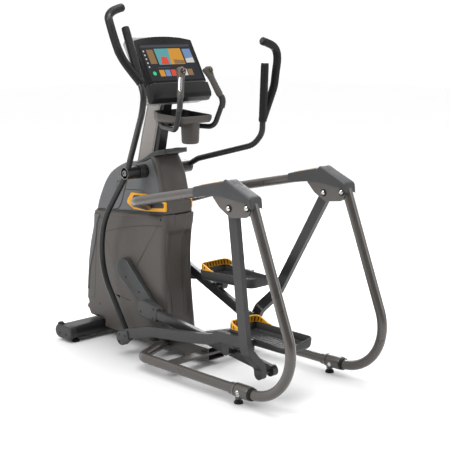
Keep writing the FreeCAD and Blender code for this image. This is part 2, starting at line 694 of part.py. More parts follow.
def make_pedal_arms():
    """Arm from the handle knuckle back under the outer edge of the pedal, with the gusset and its pin."""
    high = -size("pedal_arm_inner")
    low = high - size("pedal_arm_width")
    arm = banner(PEDAL_LINE, 27, low, high)
    reach = size("pedal_arm_length")
    foot = (reach * math.cos(REST["pedal"]), reach * math.sin(REST["pedal"]))
    knuckle = bar_x(40, low - 4, high, foot[0], foot[1])
    gusset = hull((0, 0), 26, (-10, 36), 17, high, high + 42)
    bearing = block(high, high + 42, -60, 26, 20, 60)
    pin = bar_x(PIN, high + 42, -size("link_inner") - 2, 0, 0)
    arm = arm.multiFuse([knuckle, gusset, bearing, pin]).removeSplitter()
    arm = arm.cut(bar_x(PIN + GAP, high - 22, high + 1, foot[0], foot[1]))
    side_pair("pedal_arm", arm, "knee", "pedal", REST["pedal"])


TRAY_LOW = 60.0
TRAY_HIGH = 117.0
TRAY_FRONT = -12.0


def tray_outline(inset):
    low = -size("pedal_inner") - size("pedal_width") + inset
    high = -size("pedal_inner") - inset
    front = TRAY_FRONT - inset
    rear = TRAY_FRONT - size("pedal_length") + inset
    return [(low, rear, 40 - inset), (high, rear, 40 - inset), (high, front, 25 - inset),
            (low, front, 25 - inset)]


def make_pedals():
    """Foot trays with a raised rim, and the slotted toe guards on their front ends."""
    for side, state in SIDES.items():
        body = new_body("tray_" + side)
        outer = outline_sketch(body, "XY_Plane", "tray_outline_" + side, tray_outline(0), shifted(TRAY_LOW))
        pad(body, outer, "tray_pad_" + side, "%g" % (TRAY_HIGH - TRAY_LOW))
        well = outline_sketch(body, "XY_Plane", "tray_well_" + side, tray_outline(8), shifted(TRAY_HIGH))
        pocket(body, well, "tray_pocket_" + side, "Sizes.pedal_height - 1")
        doc.recompute()
        tray = body.Shape if side == "left" else mirrored(body.Shape)
        feature("pedal_tray_" + side, tray, pose(state["knee"], state["pedal"] - REST["pedal"]))
    outer = flat_prism(tray_outline(0), TRAY_HIGH, TRAY_HIGH + 36)
    inner = flat_prism(tray_outline(7), TRAY_HIGH, TRAY_HIGH + 36)
    guard = outer.cut(inner).common(block(-400, 0, TRAY_FRONT - 112, 0, TRAY_HIGH, TRAY_HIGH + 36))
    for step in range(3):
        guard = guard.cut(block(-400, 0, TRAY_FRONT - 100 + 24 * step, TRAY_FRONT - 86 + 24 * step,
                                TRAY_HIGH + 10, TRAY_HIGH + 27))
    side_pair("toe_guard", guard, "knee", "pedal", REST["pedal"])


def flat_prism(corners, z_low, z_high):
    """Solid with an (x, y) outline between two heights."""
    edges = [edge.toShape() for edge in rounded(corners)]
    face = Part.Face(Part.Wire(Part.__sortEdges__(edges)))
    face.translate(Vector(0, 0, z_low))
    return face.extrude(Vector(0, 0, z_high - z_low))


def make_swing_arms():
    """Hanging arms: straight flat bars that curve inwards to the link ends."""
    half = size("swing_depth") / 2
    reach = size("swing_length")
    outer = -RAIL - size("swing_width") / 2
    inner = -RAIL + size("swing_width") / 2
    corners = [(inner, 0), (inner, -672, 80), (-237, -768, 24), (-237, -reach),
               (-268, -reach), (-268, -786, 24), (outer, -692, 100), (outer, 0)]
    edges = [edge.toShape() for edge in rounded(corners)]
    face = Part.Face(Part.Wire(Part.__sortEdges__(edges)))
    face.rotate(Vector(0, 0, 0), Vector(1, 0, 0), 90)
    face.translate(Vector(0, half, 0))
    arm = face.extrude(Vector(0, -2 * half, 0))
    hub = bar_x(28, -RAIL - 24, -RAIL + 24, 0, 0)
    boss = bar_x(half, -268, -237, 0, -reach)
    pin = bar_x(PIN, -237, -size("link_inner") - size("link_width") - 0.7, 0, -reach)
    arm = arm.multiFuse([hub, boss, pin]).removeSplitter()
    arm = tapped(arm, size("bolt_diameter") / 2 + GAP, -RAIL - 24, -RAIL + 24)
    side_pair("swing_arm", arm, SWING_TOP, "swing", -math.pi / 2)


HANDLE_UP = [(-213, 0, 0), (-225, -45, 85, 60), (-330, -270, 340, 120), (-330, -287, 430, 90),
             (-307, -120, 763)]
HANDLE_DOWN = [(-213, 0, 0), (-213, 235, -310, 400), (-213, 235, -575, 380), (-213, 13, -904)]
GRIP_LINE = [(-325.4, -253.6, 496.6), (-306.75, -118.2, 766.6)]
OUTER_GRIP = [(-325.4, -253.6, 496.6), (-400, -172, 640, 70), (-400, -95, 825, 50), (-275, -60, 868)]


def make_handles():
    thick = size("handle_diameter")
    upper = rod(HANDLE_UP, thick)
    lower = rod(HANDLE_DOWN, thick)
    loop = rod(OUTER_GRIP, thick)
    hub = bar_x(34.5, -232, -150, 0, 0)
    boss = bar_x(22, -230, -196, HANDLE_DOWN[-1][1], HANDLE_DOWN[-1][2])
    stub = bar_x(PIN, -size("pedal_arm_inner") + 0.6, -230, HANDLE_DOWN[-1][1], HANDLE_DOWN[-1][2])
    arm = upper.multiFuse([lower, loop, hub, boss, stub]).removeSplitter()
    arm = arm.cut(bar_x(size("axle_diameter") / 2 + GAP, -228, -140, 0, 0))
    side_pair("handle_arm", arm, HANDLE_TOP, "handle", REST["handle"])
    grips = rod(GRIP_LINE, 40).fuse(rod(OUTER_GRIP, 40))
    grips = grips.cut(upper.multiFuse([loop]))
    side_pair("handle_grips", grips, HANDLE_TOP, "handle", REST["handle"])

# ---------------------------------------------------------------- chassis, mast and drive

PLATE_IN = size("chassis_half_width")
PLATE_OUT = PLATE_IN + 8
FLYWHEEL = (size("flywheel_y"), size("flywheel_z"))
CHASSIS_LINE = [(270, 100), (790, 100), (790, 330, 60), (690, 700, 40), (550, 1020, 20), (330, 1020, 20),
                (300, 780, 30), (300, 330, 30)]
MAST_LINE = [(398, 958), (560, 958), (432, 1400, 120), (395, 1574.4), (363, 1524), (301, 1397)]


def make_chassis():
    """Two upright plates with spacers, the flywheel shaft, the handle shafts and the mast socket."""
    plate = new_body("chassis_plate")
    outline = outline_sketch(plate, "YZ_Plane", "chassis_outline", CHASSIS_LINE, shifted(PLATE_IN))
    pad(plate, outline, "chassis_pad", "8")
    bores = sketch_on(plate, "YZ_Plane", "chassis_bores", shifted(PLATE_IN - 1))
    bores.addGeometry(Part.Circle(Vector(AXLE[0], AXLE[1], 0), Vector(0, 0, 1), 31), False)
    for y, z, radius in ((660, 250, 45), (430, 620, 50), (470, 850, 40)):
        bores.addGeometry(Part.Circle(Vector(y, z, 0), Vector(0, 0, 1), radius), False)
    pocket(plate, bores, "chassis_openings", "12", reverse=True)
    members = [plate, mirror_of(plate, "chassis_plate_twin")]
    for name, y, z, radius in (("low_spacer", 730, 180, "15"), ("rear_spacer", 330, 700, "15"),
                               ("top_spacer", 600, 850, "12"), ("flywheel_shaft", *FLYWHEEL, "10")):
        spacer = doc.addObject("Part::Cylinder", name)
        bind(spacer, Radius=radius, Height="2 * Sizes.chassis_half_width")
        spacer.Placement = Placement(Vector(-PLATE_IN, y, z), Rotation(Vector(0, 1, 0), 90))
        members.append(spacer)
    for side in (-1, 1):
        outward = Rotation(Vector(0, 1, 0), side * 90)
        at_plate = Placement(Vector(side * PLATE_IN, *HANDLE_TOP), outward)
        shaft = doc.addObject("Part::Cylinder", "handle_shaft")
        bind(shaft, Radius="Sizes.axle_diameter / 2", Height="180")
        shaft.Placement = at_plate
        housing = doc.addObject("Part::Cylinder", "handle_housing")
        bind(housing, Radius="37", Height="102")
        housing.Placement = at_plate
        members += [shaft, housing]
    socket = doc.addObject("Part::Box", "mast_socket")
    bind(socket, Length="2 * Sizes.chassis_half_width", Width="200", Height="28")
    socket.Placement = Placement(Vector(-PLATE_IN, 395, 930), Rotation())
    members.append(socket)
    chassis = doc.addObject("Part::MultiFuse", "chassis_fused")
    chassis.Shapes = members
    sub_part(chassis, "chassis")


def make_mast():
    outer = prism(MAST_LINE, -28, 28)
    core_line = [(402, 950), (556, 950), (428, 1400, 116), (392, 1560), (366, 1519), (305, 1396)]
    feature("mast_tube", outer.cut(prism(core_line, -25, 25)))
    side = prism([(424, 958), (560, 958), (432, 1400, 120), (425, 1430), (318, 1405)], 28, 34)
    feature("mast_side_plates", both_sides(side))


def turned(name, corners, placement, label):
    """Body turned about X from a half section given as (x, radius)."""
    body = new_body(name)
    section = sketch_on(body, "XY_Plane", name + "_section")
    for edge in rounded(corners):
        section.addGeometry(edge, False)
    turn = body.newObject("PartDesign::Revolution", name + "_turn")
    turn.Profile = section
    turn.ReferenceAxis = (section, ["H_Axis"])
    turn.Angle = 360
    body.Placement = placement
    return sub_part(body, label)


def make_drive():
    pulley = size("pulley_diameter") / 2
    width = size("pulley_width")
    axle = size("axle_diameter") / 2
    at_axle = Placement(Vector(0, *AXLE), Rotation())
    turned("pulley", [(-22, axle), (16, axle), (16, 34), (0, 34), (0, pulley - 14), (6, pulley - 14),
                      (6, pulley), (6 - width, pulley), (6 - width, pulley - 14), (-6, pulley - 14),
                      (-6, 34), (-22, 34)], at_axle, "drive_pulley")
    small = size("small_pulley_diameter") / 2
    wheel = size("flywheel_diameter") / 2
    bore = 10 + GAP
    rim = 16 + size("flywheel_width")
    turned("wheel", [(-14, bore), (42, bore), (42, 22), (31, 22), (31, wheel - 30), (rim, wheel - 30),
                     (rim, wheel), (16, wheel), (16, wheel - 30), (23, wheel - 30), (23, 22), (6, 22),
                     (6, small), (-12, small), (-12, 22), (-14, 22)],
           Placement(Vector(0, *FLYWHEEL), Rotation()), "flywheel")
    thick = size("belt_thickness")
    low, high = -11, 5
    outer = hull(AXLE, pulley + 0.4 + thick, FLYWHEEL, small + 0.4 + thick, low, high)
    inner = hull(AXLE, pulley + 0.4, FLYWHEEL, small + 0.4, low, high)
    feature("drive_belt", outer.cut(inner))
    magnet = block(10, PLATE_IN, 441, 511, 140, 200)
    magnet = magnet.cut(bar_x(wheel + 4, 12.5, 41.5, *FLYWHEEL))
    magnet = magnet.cut(bar_x(wheel - 34, 0, 60, *FLYWHEEL))
    feature("brake_magnet", magnet)
    bearing = bar_x(31, PLATE_IN - 4, PLATE_OUT + 6, *AXLE)
    bearing = bearing.cut(bar_x(axle + GAP, 0, 100, *AXLE))
    feature("crank_bearings", both_sides(bearing))


# ---------------------------------------------------------------- tower covers

LOWER_LINE = [(198, 96), (325, 96), (340, 50), (764, 50), (772, 98), (890, 100, 20), (945, 170, 60),
              (930, 310, 300), (892, 580, 300), (850, 735, 20), (208, 785, 14), (234, 620, 300),
              (240, 500, 300), (222, 270, 300)]
UPPER_LINE = [(210, 785), (838, 736), (803, 825, 200), (707, 967, 200), (528, 1051, 60), (440, 1046),
              (329, 1098, 10), (285, 1030, 100), (240, 880, 300)]


def offset_face(corners, distance):
    edges = [edge.toShape() for edge in rounded(corners)]
    wire = Part.Wire(Part.__sortEdges__(edges))
    return Part.Face(wire.makeOffset2D(distance) if distance else wire)


def slab(corners, distance, x_low, x_high):
    """Solid between two x planes whose (y, z) outline is offset by a distance."""
    turn = FreeCAD.Matrix(0, 0, 1, x_low, 1, 0, 0, 0, 0, 1, 0, 0, 0, 0, 0, 1)
    face = offset_face(corners, distance).transformGeometry(turn)
    return face.extrude(Vector(x_high - x_low, 0, 0))


def half_shell(corners, half_width, round_over):
    """Left half of a hollow moulded cover, open towards the middle plane."""
    wall = size("shell_wall")
    outer = slab(corners, 0, -half_width, 0)
    outer = outer.makeFillet(round_over, long_rims(outer, -half_width))
    inner = slab(corners, -wall, -half_width + wall, 1)
    inner = inner.makeFillet(max(round_over - wall, 1), long_rims(inner, -half_width + wall))
    return outer.cut(inner)


def make_lower_shrouds():
    half = size("shroud_half_width")
    spine = size("spine_half_width")
    cover = half_shell(LOWER_LINE, half, 8)
    cover = cover.cut(block(-half + 12, 1, 190, 925, 40, 104))
    cover = cover.cut(block(-spine, 1, 150, 300, 40, 800))
    cover = cover.cut(block(-PLATE_OUT - 4, 1, 280, 790, 700, 800))
    cover = cover.cut(bar_x(18, -half - 1, 0, *AXLE))
    cover = cover.cut(block(-half - 1, 0, 225, 345, 30, 99))
    feature("lower_shroud_left", cover)
    feature("lower_shroud_right", mirrored(cover))


def make_tower_strips():
    spine = size("spine_half_width") - 0.5
    wall = size("shell_wall")
    ring = slab(LOWER_LINE, 0, -spine, spine).cut(slab(LOWER_LINE, -wall, -spine - 1, spine + 1))
    feature("rear_channel_cover", ring.common(block(-60, 60, 150, 299.5, 100, 782)))
    skin = slab(LOWER_LINE, wall, -74, 74).cut(slab(LOWER_LINE, 0, -75, 75))
    feature("front_panel", skin.common(block(-80, 80, 800, 1000, 300, 715)))
    upper = slab(UPPER_LINE, 0, -spine, spine).cut(slab(UPPER_LINE, -wall, -spine - 1, spine + 1))
    feature("spine_cover", upper.common(block(-60, 60, 150, 326, 792, 1090)))


def make_upper_shrouds():
    half = size("tower_half_width")
    spine = size("spine_half_width")
    cover = half_shell(UPPER_LINE, half, 8)
    cover = cover.cut(block(-spine, 1, 150, 326.5, 700, 1200))
    cover = cover.cut(block(-PLATE_OUT - 4, 1, 250, 790, 700, 800))
    cover = cover.cut(bar_x(39, -half - 1, -10, *HANDLE_TOP))
    cover = cover.cut(left_rail_bar(60))
    cover = cover.cut(block(-38, 1, 350, 600, 990, 1200))
    feature("upper_shroud_left", cover)
    feature("upper_shroud_right", mirrored(cover))


def make_top_cap():
    cap_line = [(440, 1046), (452, 1052, 4), (340, 1118, 30), (246, 1138, 6), (234, 1116, 6), (300, 1102, 20),
                (329, 1098)]
    half = size("tower_half_width")
    cap = prism(cap_line, -half, half)
    cap = cap.cut(slab(UPPER_LINE, 0, -half - 1, half + 1)).cut(block(-38, 38, 340, 600, 950, 1200))
    feature("top_cap", cap)


# ---------------------------------------------------------------- console, tray and fixed grips

def make_console():
    half = size("console_half_width")
    front_line = [(372, 1722, 6), (230, 1485, 20), (190, 1412, 6), (203, 1383, 8), (225, 1400), (262, 1467),
                  (404, 1704)]
    bezel = prism(front_line, -half, half)
    bezel = bezel.makeFillet(3, long_rims(bezel, -half) + long_rims(bezel, half))
    tilt = Rotation(Vector(1, 0, 0), -size("console_tilt"))
    glass = doc.addObject("Part::Box", "screen")
    bind(glass, Length="2 * Sizes.console_half_width - 40", Width="4", Height="234")
    glass.Placement = Placement(Vector(-half + 20, 236, 1491), tilt)
    sub_part(glass, "screen")
    recess = block(-half + 20, half - 20, -30, 4, 0, 234)
    recess.Placement = Placement(Vector(0, 236, 1491), tilt)
    feature("console_housing", bezel.cut(recess))
    back_line = [(203, 1383), (275, 1362, 8), (301, 1397), (363, 1524), (460, 1680, 20), (426, 1722, 20),
                 (404, 1704), (262, 1467), (225, 1400)]
    back = prism(back_line, -half + 8, half - 8)
    back = back.cut(bezel)
    feature("console_back", back.cut(prism(MAST_LINE, -29, 29)).removeSplitter())


def make_tray():
    """Accessory tray and the open-topped cup of the bottle holder under it."""
    low, high = 1274, 1336
    corners = [(-118, 75, 30), (118, 75, 30), (118, 300, 20), (34, 334, 1), (-34, 334, 1), (-118, 300, 20)]
    well = [(-112, 81, 25), (112, 81, 25), (112, 292, 15), (-112, 292, 15)]
    tray = flat_prism(corners, low, high).cut(flat_prism(well, low + 4, high + 1))
    tray = tray.cut(prism(MAST_LINE, -28, 28)).cut(Part.makeCylinder(46, 60, Vector(0, 135, low - 1)))
    feature("accessory_tray", tray)
    radius = size("holder_diameter") / 2
    cup = Part.makeCylinder(radius, low - 1166, Vector(0, 135, 1166))
    cup = cup.cut(Part.makeCylinder(radius - 4, low - 1162, Vector(0, 135, 1170)))
    feature("bottle_holder", cup)


GRIP_TUBE = [(-28, 338, 1256), (-78, 262, 1252, 40), (-135, 96, 1249, 50), (-152, 44, 1385, 60),
             (-91, 102, 1555)]


def make_fixed_grips():
    slim = size("grip_diameter")
    thick = size("sleeve_grip_diameter")
    bar = rod(GRIP_TUBE, slim).cut(block(-28, 28, 0, 600, 1000, 1700))
    top = Vector(*GRIP_TUBE[-1])
    base = Vector(*GRIP_TUBE[-2][:3])
    lean = (top - base).normalize()
    start = base + lean * 34
    sleeve = Part.makeCylinder(thick / 2, (top - start).Length - 14, start, lean)
    sleeve = sleeve.cut(Part.makeCylinder(slim / 2, 300, base, lean))
    head = Part.makeCylinder(thick / 2, 22, top - lean * 14, lean)
    well = Part.makeCylinder(7.3, 8, top + lean * 2, lean)
    feature("grip_tubes", both_sides(bar.fuse(head).removeSplitter().cut(well)))
    feature("grip_sleeves", both_sides(sleeve))
    strip = Part.makeCylinder(thick / 2 + 1.5, 90, start + lean * 36, lean)
    strip = strip.cut(Part.makeCylinder(thick / 2, 200, start, lean))
    strip = strip.common(block(-260, 0, -80, base.y + 26, 1300, 1700))
    feature("sensor_strips", both_sides(strip))
    key = Part.makeCylinder(7.0, 7, Vector(0, 0, 0), Vector(0, 0, 1))
    key = key.makeFillet(1.5, [edge for edge in key.Edges if abs(edge.BoundBox.ZMin - 7) < 0.01])
    for side, sign in (("left", 1), ("right", -1)):
        way = Vector(lean.x * sign, lean.y, lean.z)
        spot = Vector(top.x * sign, top.y, top.z) + way * 5.2
        feature("thumb_key_" + side, key, Placement(spot, Rotation(Vector(0, 0, 1), way)))


# ---------------------------------------------------------------- build, check and write

make_base_frame()
make_stabilizer()
make_stabilizer_caps()
make_transport_wheels()
make_lower_rails()
make_rear_loops()
make_top_rails()
make_loop_gaskets()
make_bracket_plates()
make_frame_bolts()
make_feet()
make_bracket_covers()
make_bracket_end_caps()
make_accent_trims()
make_crank()
make_links()
make_pedal_arms()
make_pedals()
make_swing_arms()
make_handles()
make_chassis()
make_mast()
make_drive()
make_lower_shrouds()
make_tower_strips()
make_upper_shrouds()
make_top_cap()
make_console()
make_tray()
make_fixed_grips()
doc.recompute()

for item in doc.Objects:
    if "Invalid" in item.State or "Error" in item.State:
        raise RuntimeError("%s did not recompute: %s" % (item.Label, item.State))
os.makedirs("parts", exist_ok=True)
for item in SUBPARTS:
    if item.Shape.isNull() or not item.Shape.isValid() or not item.Shape.Solids:
        raise RuntimeError("%s has no valid solid" % item.Label)
for item in SUBPARTS:
    item.Shape.exportStep(os.path.join("parts", item.Label + ".step"))
print("%d sub-parts written" % len(SUBPARTS))
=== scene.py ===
import json
import math

import bmesh
import bpy
from mathutils import Matrix, Vector


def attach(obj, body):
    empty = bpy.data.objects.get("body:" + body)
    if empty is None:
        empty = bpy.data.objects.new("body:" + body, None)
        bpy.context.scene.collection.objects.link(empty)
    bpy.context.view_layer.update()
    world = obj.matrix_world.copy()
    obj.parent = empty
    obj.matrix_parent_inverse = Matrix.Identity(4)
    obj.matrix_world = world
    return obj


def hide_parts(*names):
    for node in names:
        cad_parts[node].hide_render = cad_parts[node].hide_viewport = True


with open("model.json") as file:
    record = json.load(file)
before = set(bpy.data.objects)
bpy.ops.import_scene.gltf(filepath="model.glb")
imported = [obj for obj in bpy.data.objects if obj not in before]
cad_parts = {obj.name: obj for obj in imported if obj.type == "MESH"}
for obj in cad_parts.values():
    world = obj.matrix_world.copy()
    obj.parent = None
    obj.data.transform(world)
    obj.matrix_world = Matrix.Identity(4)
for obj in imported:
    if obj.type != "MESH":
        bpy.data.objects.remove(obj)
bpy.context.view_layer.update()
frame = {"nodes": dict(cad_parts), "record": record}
NODES = frame["nodes"]

# ---- camera, light and floor

CAMERA_AT = (-3.867, -4.115, 1.829)
CAMERA_AZIMUTH = math.radians(-44.117)
CAMERA_DROP = math.radians(10.83)
camera_data = bpy.data.cameras.new("view_camera")
camera_data.sensor_width = 36.0
camera_data.lens = 87.6
camera_data.clip_end = 100.0
camera = bpy.data.objects.new("view_camera", camera_data)
camera.location = CAMERA_AT
camera.rotation_euler = (math.pi / 2 - CAMERA_DROP, 0.0, CAMERA_AZIMUTH)
bpy.context.scene.collection.objects.link(camera)
bpy.context.scene.camera = camera


def area_light(name, place, aim, size, power):
    data = bpy.data.lights.new(name, "AREA")
    data.shape = "RECTANGLE"
    data.size, data.size_y = size
    data.energy = power
    lamp = bpy.data.objects.new(name, data)
    lamp.location = place
    lamp.rotation_euler = (Vector(aim) - Vector(place)).to_track_quat("-Z", "Y").to_euler()
    bpy.context.scene.collection.objects.link(lamp)


def fill(node, values):
    """Sets a node's inputs by name."""
    for socket, value in values.items():
        node.inputs[socket].default_value = value


area_light("key_softbox", (-3.6, 0.4, 3.6), (0, 0, 0.8), (1.6, 2.4), 130)
area_light("fill_softbox", (1.6, -4.2, 2.2), (0, 0, 0.8), (1.2, 2.4), 40)
area_light("rim_softbox", (3.0, 2.2, 3.0), (0, 0, 1.0), (1.6, 2.4), 110)
area_light("top_softbox", (0.0, -0.4, 4.4), (0, 0, 0), (3.0, 2.0), 120)
bpy.context.scene.view_settings.view_transform = "Standard"

# White all round, with a darker lobe on the camera's side, so that rounded faces keep a dark middle.
TOWARD_CAMERA = (-0.7, -0.71, 0.05)
world = bpy.data.worlds.new("studio_world")
world.use_nodes = True
sky = world.node_tree.nodes["Background"]
sky.inputs[0].default_value = (1.0, 1.0, 1.0, 1.0)
bearing = world.node_tree.nodes.new("ShaderNodeTexCoord")
toward = world.node_tree.nodes.new("ShaderNodeVectorMath")
toward.operation = "DOT_PRODUCT"
toward.inputs[1].default_value = TOWARD_CAMERA
shade = world.node_tree.nodes.new("ShaderNodeMapRange")
shade.interpolation_type = "SMOOTHSTEP"
fill(shade, {"From Min": 0.25, "From Max": 0.8, "To Min": 1.05, "To Max": 0.1})
world.node_tree.links.new(bearing.outputs["Generated"], toward.inputs[0])
world.node_tree.links.new(toward.outputs["Value"], shade.inputs["Value"])
world.node_tree.links.new(shade.outputs["Result"], sky.inputs[1])
bpy.context.scene.world = world

# ---- materials


class Look:
    """One node material: a Principled shader with helpers for procedural colour, roughness and bump."""

    def __init__(self, name, colour, rough, metal=0.0, coat=0.0, coat_rough=0.1, level=0.5):
        self.material = bpy.data.materials.new(name)
        self.material.use_nodes = True
        self.nodes = self.material.node_tree.nodes
        self.join = self.material.node_tree.links.new
        self.shader = self.nodes["Principled BSDF"]
        fill(self.shader, {"Base Color": (*colour, 1.0), "Roughness": rough, "Metallic": metal,
            "Coat Weight": coat, "Coat Roughness": coat_rough, "Specular IOR Level": level})
        self.colour = colour
        self.rough = rough
        self.height = None
        self.place = self.nodes.new("ShaderNodeTexCoord").outputs["Object"]

    def add(self, kind, source, socket, values=()):
        """New node with one input joined to a source and others set."""
        node = self.nodes.new("ShaderNode" + kind)
        self.join(source, node.inputs[socket])
        fill(node, dict(values))
        return node

    def grain(self, scale, detail=3.0, stretch=(1, 1, 1)):
        spread = self.add("Mapping", self.place, "Vector", {"Scale": stretch})
        texture = self.add("TexNoise", spread.outputs["Vector"], "Vector", {"Scale": scale, "Detail": detail})
        return texture.outputs["Fac"]

    def cells(self, scale):
        return self.add("TexVoronoi", self.place, "Vector", {"Scale": scale}).outputs["Distance"]

    def ramp(self, source, low, high, start=0.3, end=0.7):
        limits = {"From Min": start, "From Max": end, "To Min": low, "To Max": high}
        return self.add("MapRange", source, "Value", limits).outputs["Result"]

    def tint(self, source, dark, light, start=0.3, end=0.7):
        node = self.add("ValToRGB", source, "Fac")
        for stop, place, colour in zip(node.color_ramp.elements, (start, end), (dark, light)):
            stop.position = place
            stop.color = (*colour, 1.0)
        self.join(node.outputs["Color"], self.shader.inputs["Base Color"])

    def vary(self, scale, amount, rough_amount, stretch=(1, 1, 1)):
        """Slow colour and roughness drift over the surface."""
        source = self.grain(scale, 4.0, stretch)
        dark = [value * (1 - amount) for value in self.colour]
        light = [min(value * (1 + amount), 1.0) for value in self.colour]
        self.tint(source, dark, light)
        low = max(self.rough - rough_amount, 0.03)
        rough = self.ramp(source, low, min(self.rough + rough_amount, 1.0))
        self.join(rough, self.shader.inputs["Roughness"])

    def bump(self, source, strength, distance):
        node = self.add("Bump", source, "Height", {"Strength": strength, "Distance": distance})
        if self.height is not None:
            self.join(self.height, node.inputs["Normal"])
        self.height = node.outputs["Normal"]
        self.join(self.height, self.shader.inputs["Normal"])


def painted(name, colour, rough, flake=0.0, coat=0.25, level=0.3):
    look = Look(name, colour, rough, metal=flake, coat=coat, coat_rough=0.22, level=level)
    look.vary(9.0, 0.07, 0.06)
    look.bump(look.grain(420.0, 2.0), 0.1, 0.0004)
    look.bump(look.cells(1400.0), 0.05, 0.0002)
    return look.material


def moulded(name, colour, rough, texture=1.0, level=0.26):
    look = Look(name, colour, rough, level=level)
    look.vary(6.0, 0.05, 0.05)
    look.bump(look.cells(900.0), 0.16 * texture, 0.0004)
    look.bump(look.grain(260.0, 4.0), 0.1 * texture, 0.0005)
    return look.material


def rubbery(name, colour, rough):
    look = Look(name, colour, rough, level=0.2)
    look.vary(14.0, 0.12, 0.08)
    look.bump(look.cells(1100.0), 0.35, 0.0005)
    look.bump(look.grain(500.0, 2.0), 0.15, 0.0003)
    return look.material


def steel(name, colour, rough, stretch=(1, 1, 1)):
    look = Look(name, colour, rough, metal=1.0)
    look.vary(30.0, 0.1, 0.08, stretch)
    look.bump(look.grain(300.0, 2.0, stretch), 0.06, 0.0003)
    return look.material


PAINTS = {  # colour, roughness, metal flake, clear coat, specular level
    "frame_paint": ((0.062, 0.055, 0.05), 0.32, 0.2, 0.65),
    "black_paint": ((0.011, 0.0112, 0.0115), 0.36, 0.0, 0.08),
    "charcoal_paint": ((0.023, 0.023, 0.0235), 0.34, 0.0, 0.1),
    "chassis_paint": ((0.009, 0.009, 0.0095), 0.55, 0.0, 0.0),
    "console_black": ((0.004, 0.004, 0.0042), 0.3, 0.0, 0.0, 0.12),
    "screen_glass": ((0.004, 0.0042, 0.005), 0.16, 0.0, 0.0, 0.15),
}
MOULDINGS = {  # colour, roughness, depth of the texture
    "shell_taupe": ((0.066, 0.059, 0.054), 0.42),
    "shell_grey": ((0.094, 0.097, 0.099), 0.4),
    "dark_plastic": ((0.03, 0.031, 0.032), 0.42),
    "pedal_plastic": ((0.026, 0.0265, 0.027), 0.46),
    "accent_yellow": ((0.62, 0.285, 0.012), 0.38, 0.6),
    "console_grey": ((0.26, 0.26, 0.255), 0.45),
}
RUBBERS = {
    "grip_rubber": ((0.0065, 0.0065, 0.0068), 0.52),
    "soft_rubber": ((0.01, 0.01, 0.01), 0.6),
    "belt_rubber": ((0.008, 0.008, 0.008), 0.7),
}
STEELS = {  # colour, roughness, stretch of the brushing
    "bright_steel": ((0.55, 0.54, 0.53), 0.2),
    "machined_steel": ((0.4, 0.4, 0.41), 0.3, (1, 12, 12)),
    "chrome_trim": ((0.66, 0.66, 0.67), 0.12),
}
MATERIALS = {name: make(name, *values) for make, table in ((painted, PAINTS), (moulded, MOULDINGS),
    (rubbery, RUBBERS), (steel, STEELS)) for name, values in table.items()}

COVER_LOOK = moulded("cover_plastic", (0.04, 0.041, 0.042), 0.38)
SHELF_LOOK = moulded("shelf_plastic", (0.011, 0.011, 0.0112), 0.36, level=0.15)
HUB_LOOK = steel("hub_steel", (0.2, 0.2, 0.2), 0.34)
PLATE_LOOK = moulded("mast_plate", (0.215, 0.2, 0.188), 0.4)

for part in frame["record"]["subparts"]:
    node = NODES[part["node"]]
    look = MATERIALS[part["material_slot"]]
    if not node.data.materials:
        node.data.materials.append(look)
    for slot in node.material_slots:
        slot.material = look


def floor_material():
    """Pale matt floor that brightens away from the object: painted shadow darkens its colour near the object,
    and a painted glow further out makes the far floor white.
    """
    look = Look("studio_floor", (0.9, 0.9, 0.9), 0.7, level=0.1)
    fill(look.shader, {"Emission Color": (1.0, 1.0, 1.0, 1.0)})
    spread = look.add("Mapping", look.place, "Vector", {"Scale": (1.35, 0.85, 0.0)})
    reach = look.add("VectorMath", spread.outputs["Vector"], 0)
    reach.operation = "LENGTH"
    # Painted light: the floor glows more the further it is from the object, and its colour is darker near the
    # object as painted shadow.
    look.join(look.ramp(reach.outputs["Value"], 0.0, 0.2, 0.75, 1.9), look.shader.inputs["Emission Strength"])
    painted_shadow_fade = look.ramp(reach.outputs["Value"], 0.0, 1.0, 0.55, 1.5)
    look.tint(painted_shadow_fade, (0.66, 0.66, 0.66), (0.9, 0.9, 0.9), 0.0, 1.0)
    look.bump(look.grain(40.0, 2.0), 0.02, 0.001)
    return look.material


def make_floor():
    mesh = bpy.data.meshes.new("studio_floor")
    reach = 20.0
    mesh.from_pydata([(-reach, -reach, 0), (reach, -reach, 0), (reach, reach, 0), (-reach, reach, 0)], [],
        [(0, 1, 2, 3)])
    mesh.materials.append(floor_material())
    floor = bpy.data.objects.new("studio_floor", mesh)
    bpy.context.scene.collection.objects.link(floor)


make_floor()

# ---- mesh tools

SMOOTH_ANGLE = math.radians(38)


def mm(*points):
    """Points given in millimetres."""
    return [tuple(value / 1000 for value in point) for point in points]


def smooth_line(points, per_span=8):
    """Catmull-Rom points through the given ones, in any number of dimensions."""
    line = []
    for index in range(len(points) - 1):
        four = [points[min(max(index + step, 0), len(points) - 1)] for step in (-1, 0, 1, 2)]
        for t in [step / per_span for step in range(per_span)]:
            line.append(tuple(0.5 * (2 * b + (c - a) * t + (2 * a - 5 * b + 4 * c - d) * t * t
                + (3 * b - a - 3 * c + d) * t ** 3) for a, b, c, d in zip(*four)))
    return line + [tuple(points[-1])]


def arc(centre, radius, start, sweep, steps):
    """Points of an arc with both its ends."""
    turns = [start + sweep * step / steps for step in range(steps + 1)]
    return [(centre[0] + radius * math.cos(turn), centre[1] + radius * math.sin(turn)) for turn in turns]


def circle(centre, radius, steps):
    return arc(centre, radius, 0.0, 2 * math.pi, steps)[:-1]


def along(line, share):
    """Point at a share of a line's length, and the line's direction there."""
    spans = [math.dist(a, b) for a, b in zip(line, line[1:])]
    goal = share * sum(spans)
    for a, b, span in zip(line, line[1:], spans):
        way = (Vector(b) - Vector(a)).normalized()
        if goal <= span + 1e-9:
            break
        goal -= span
    return Vector(a) + way * min(goal, span), way


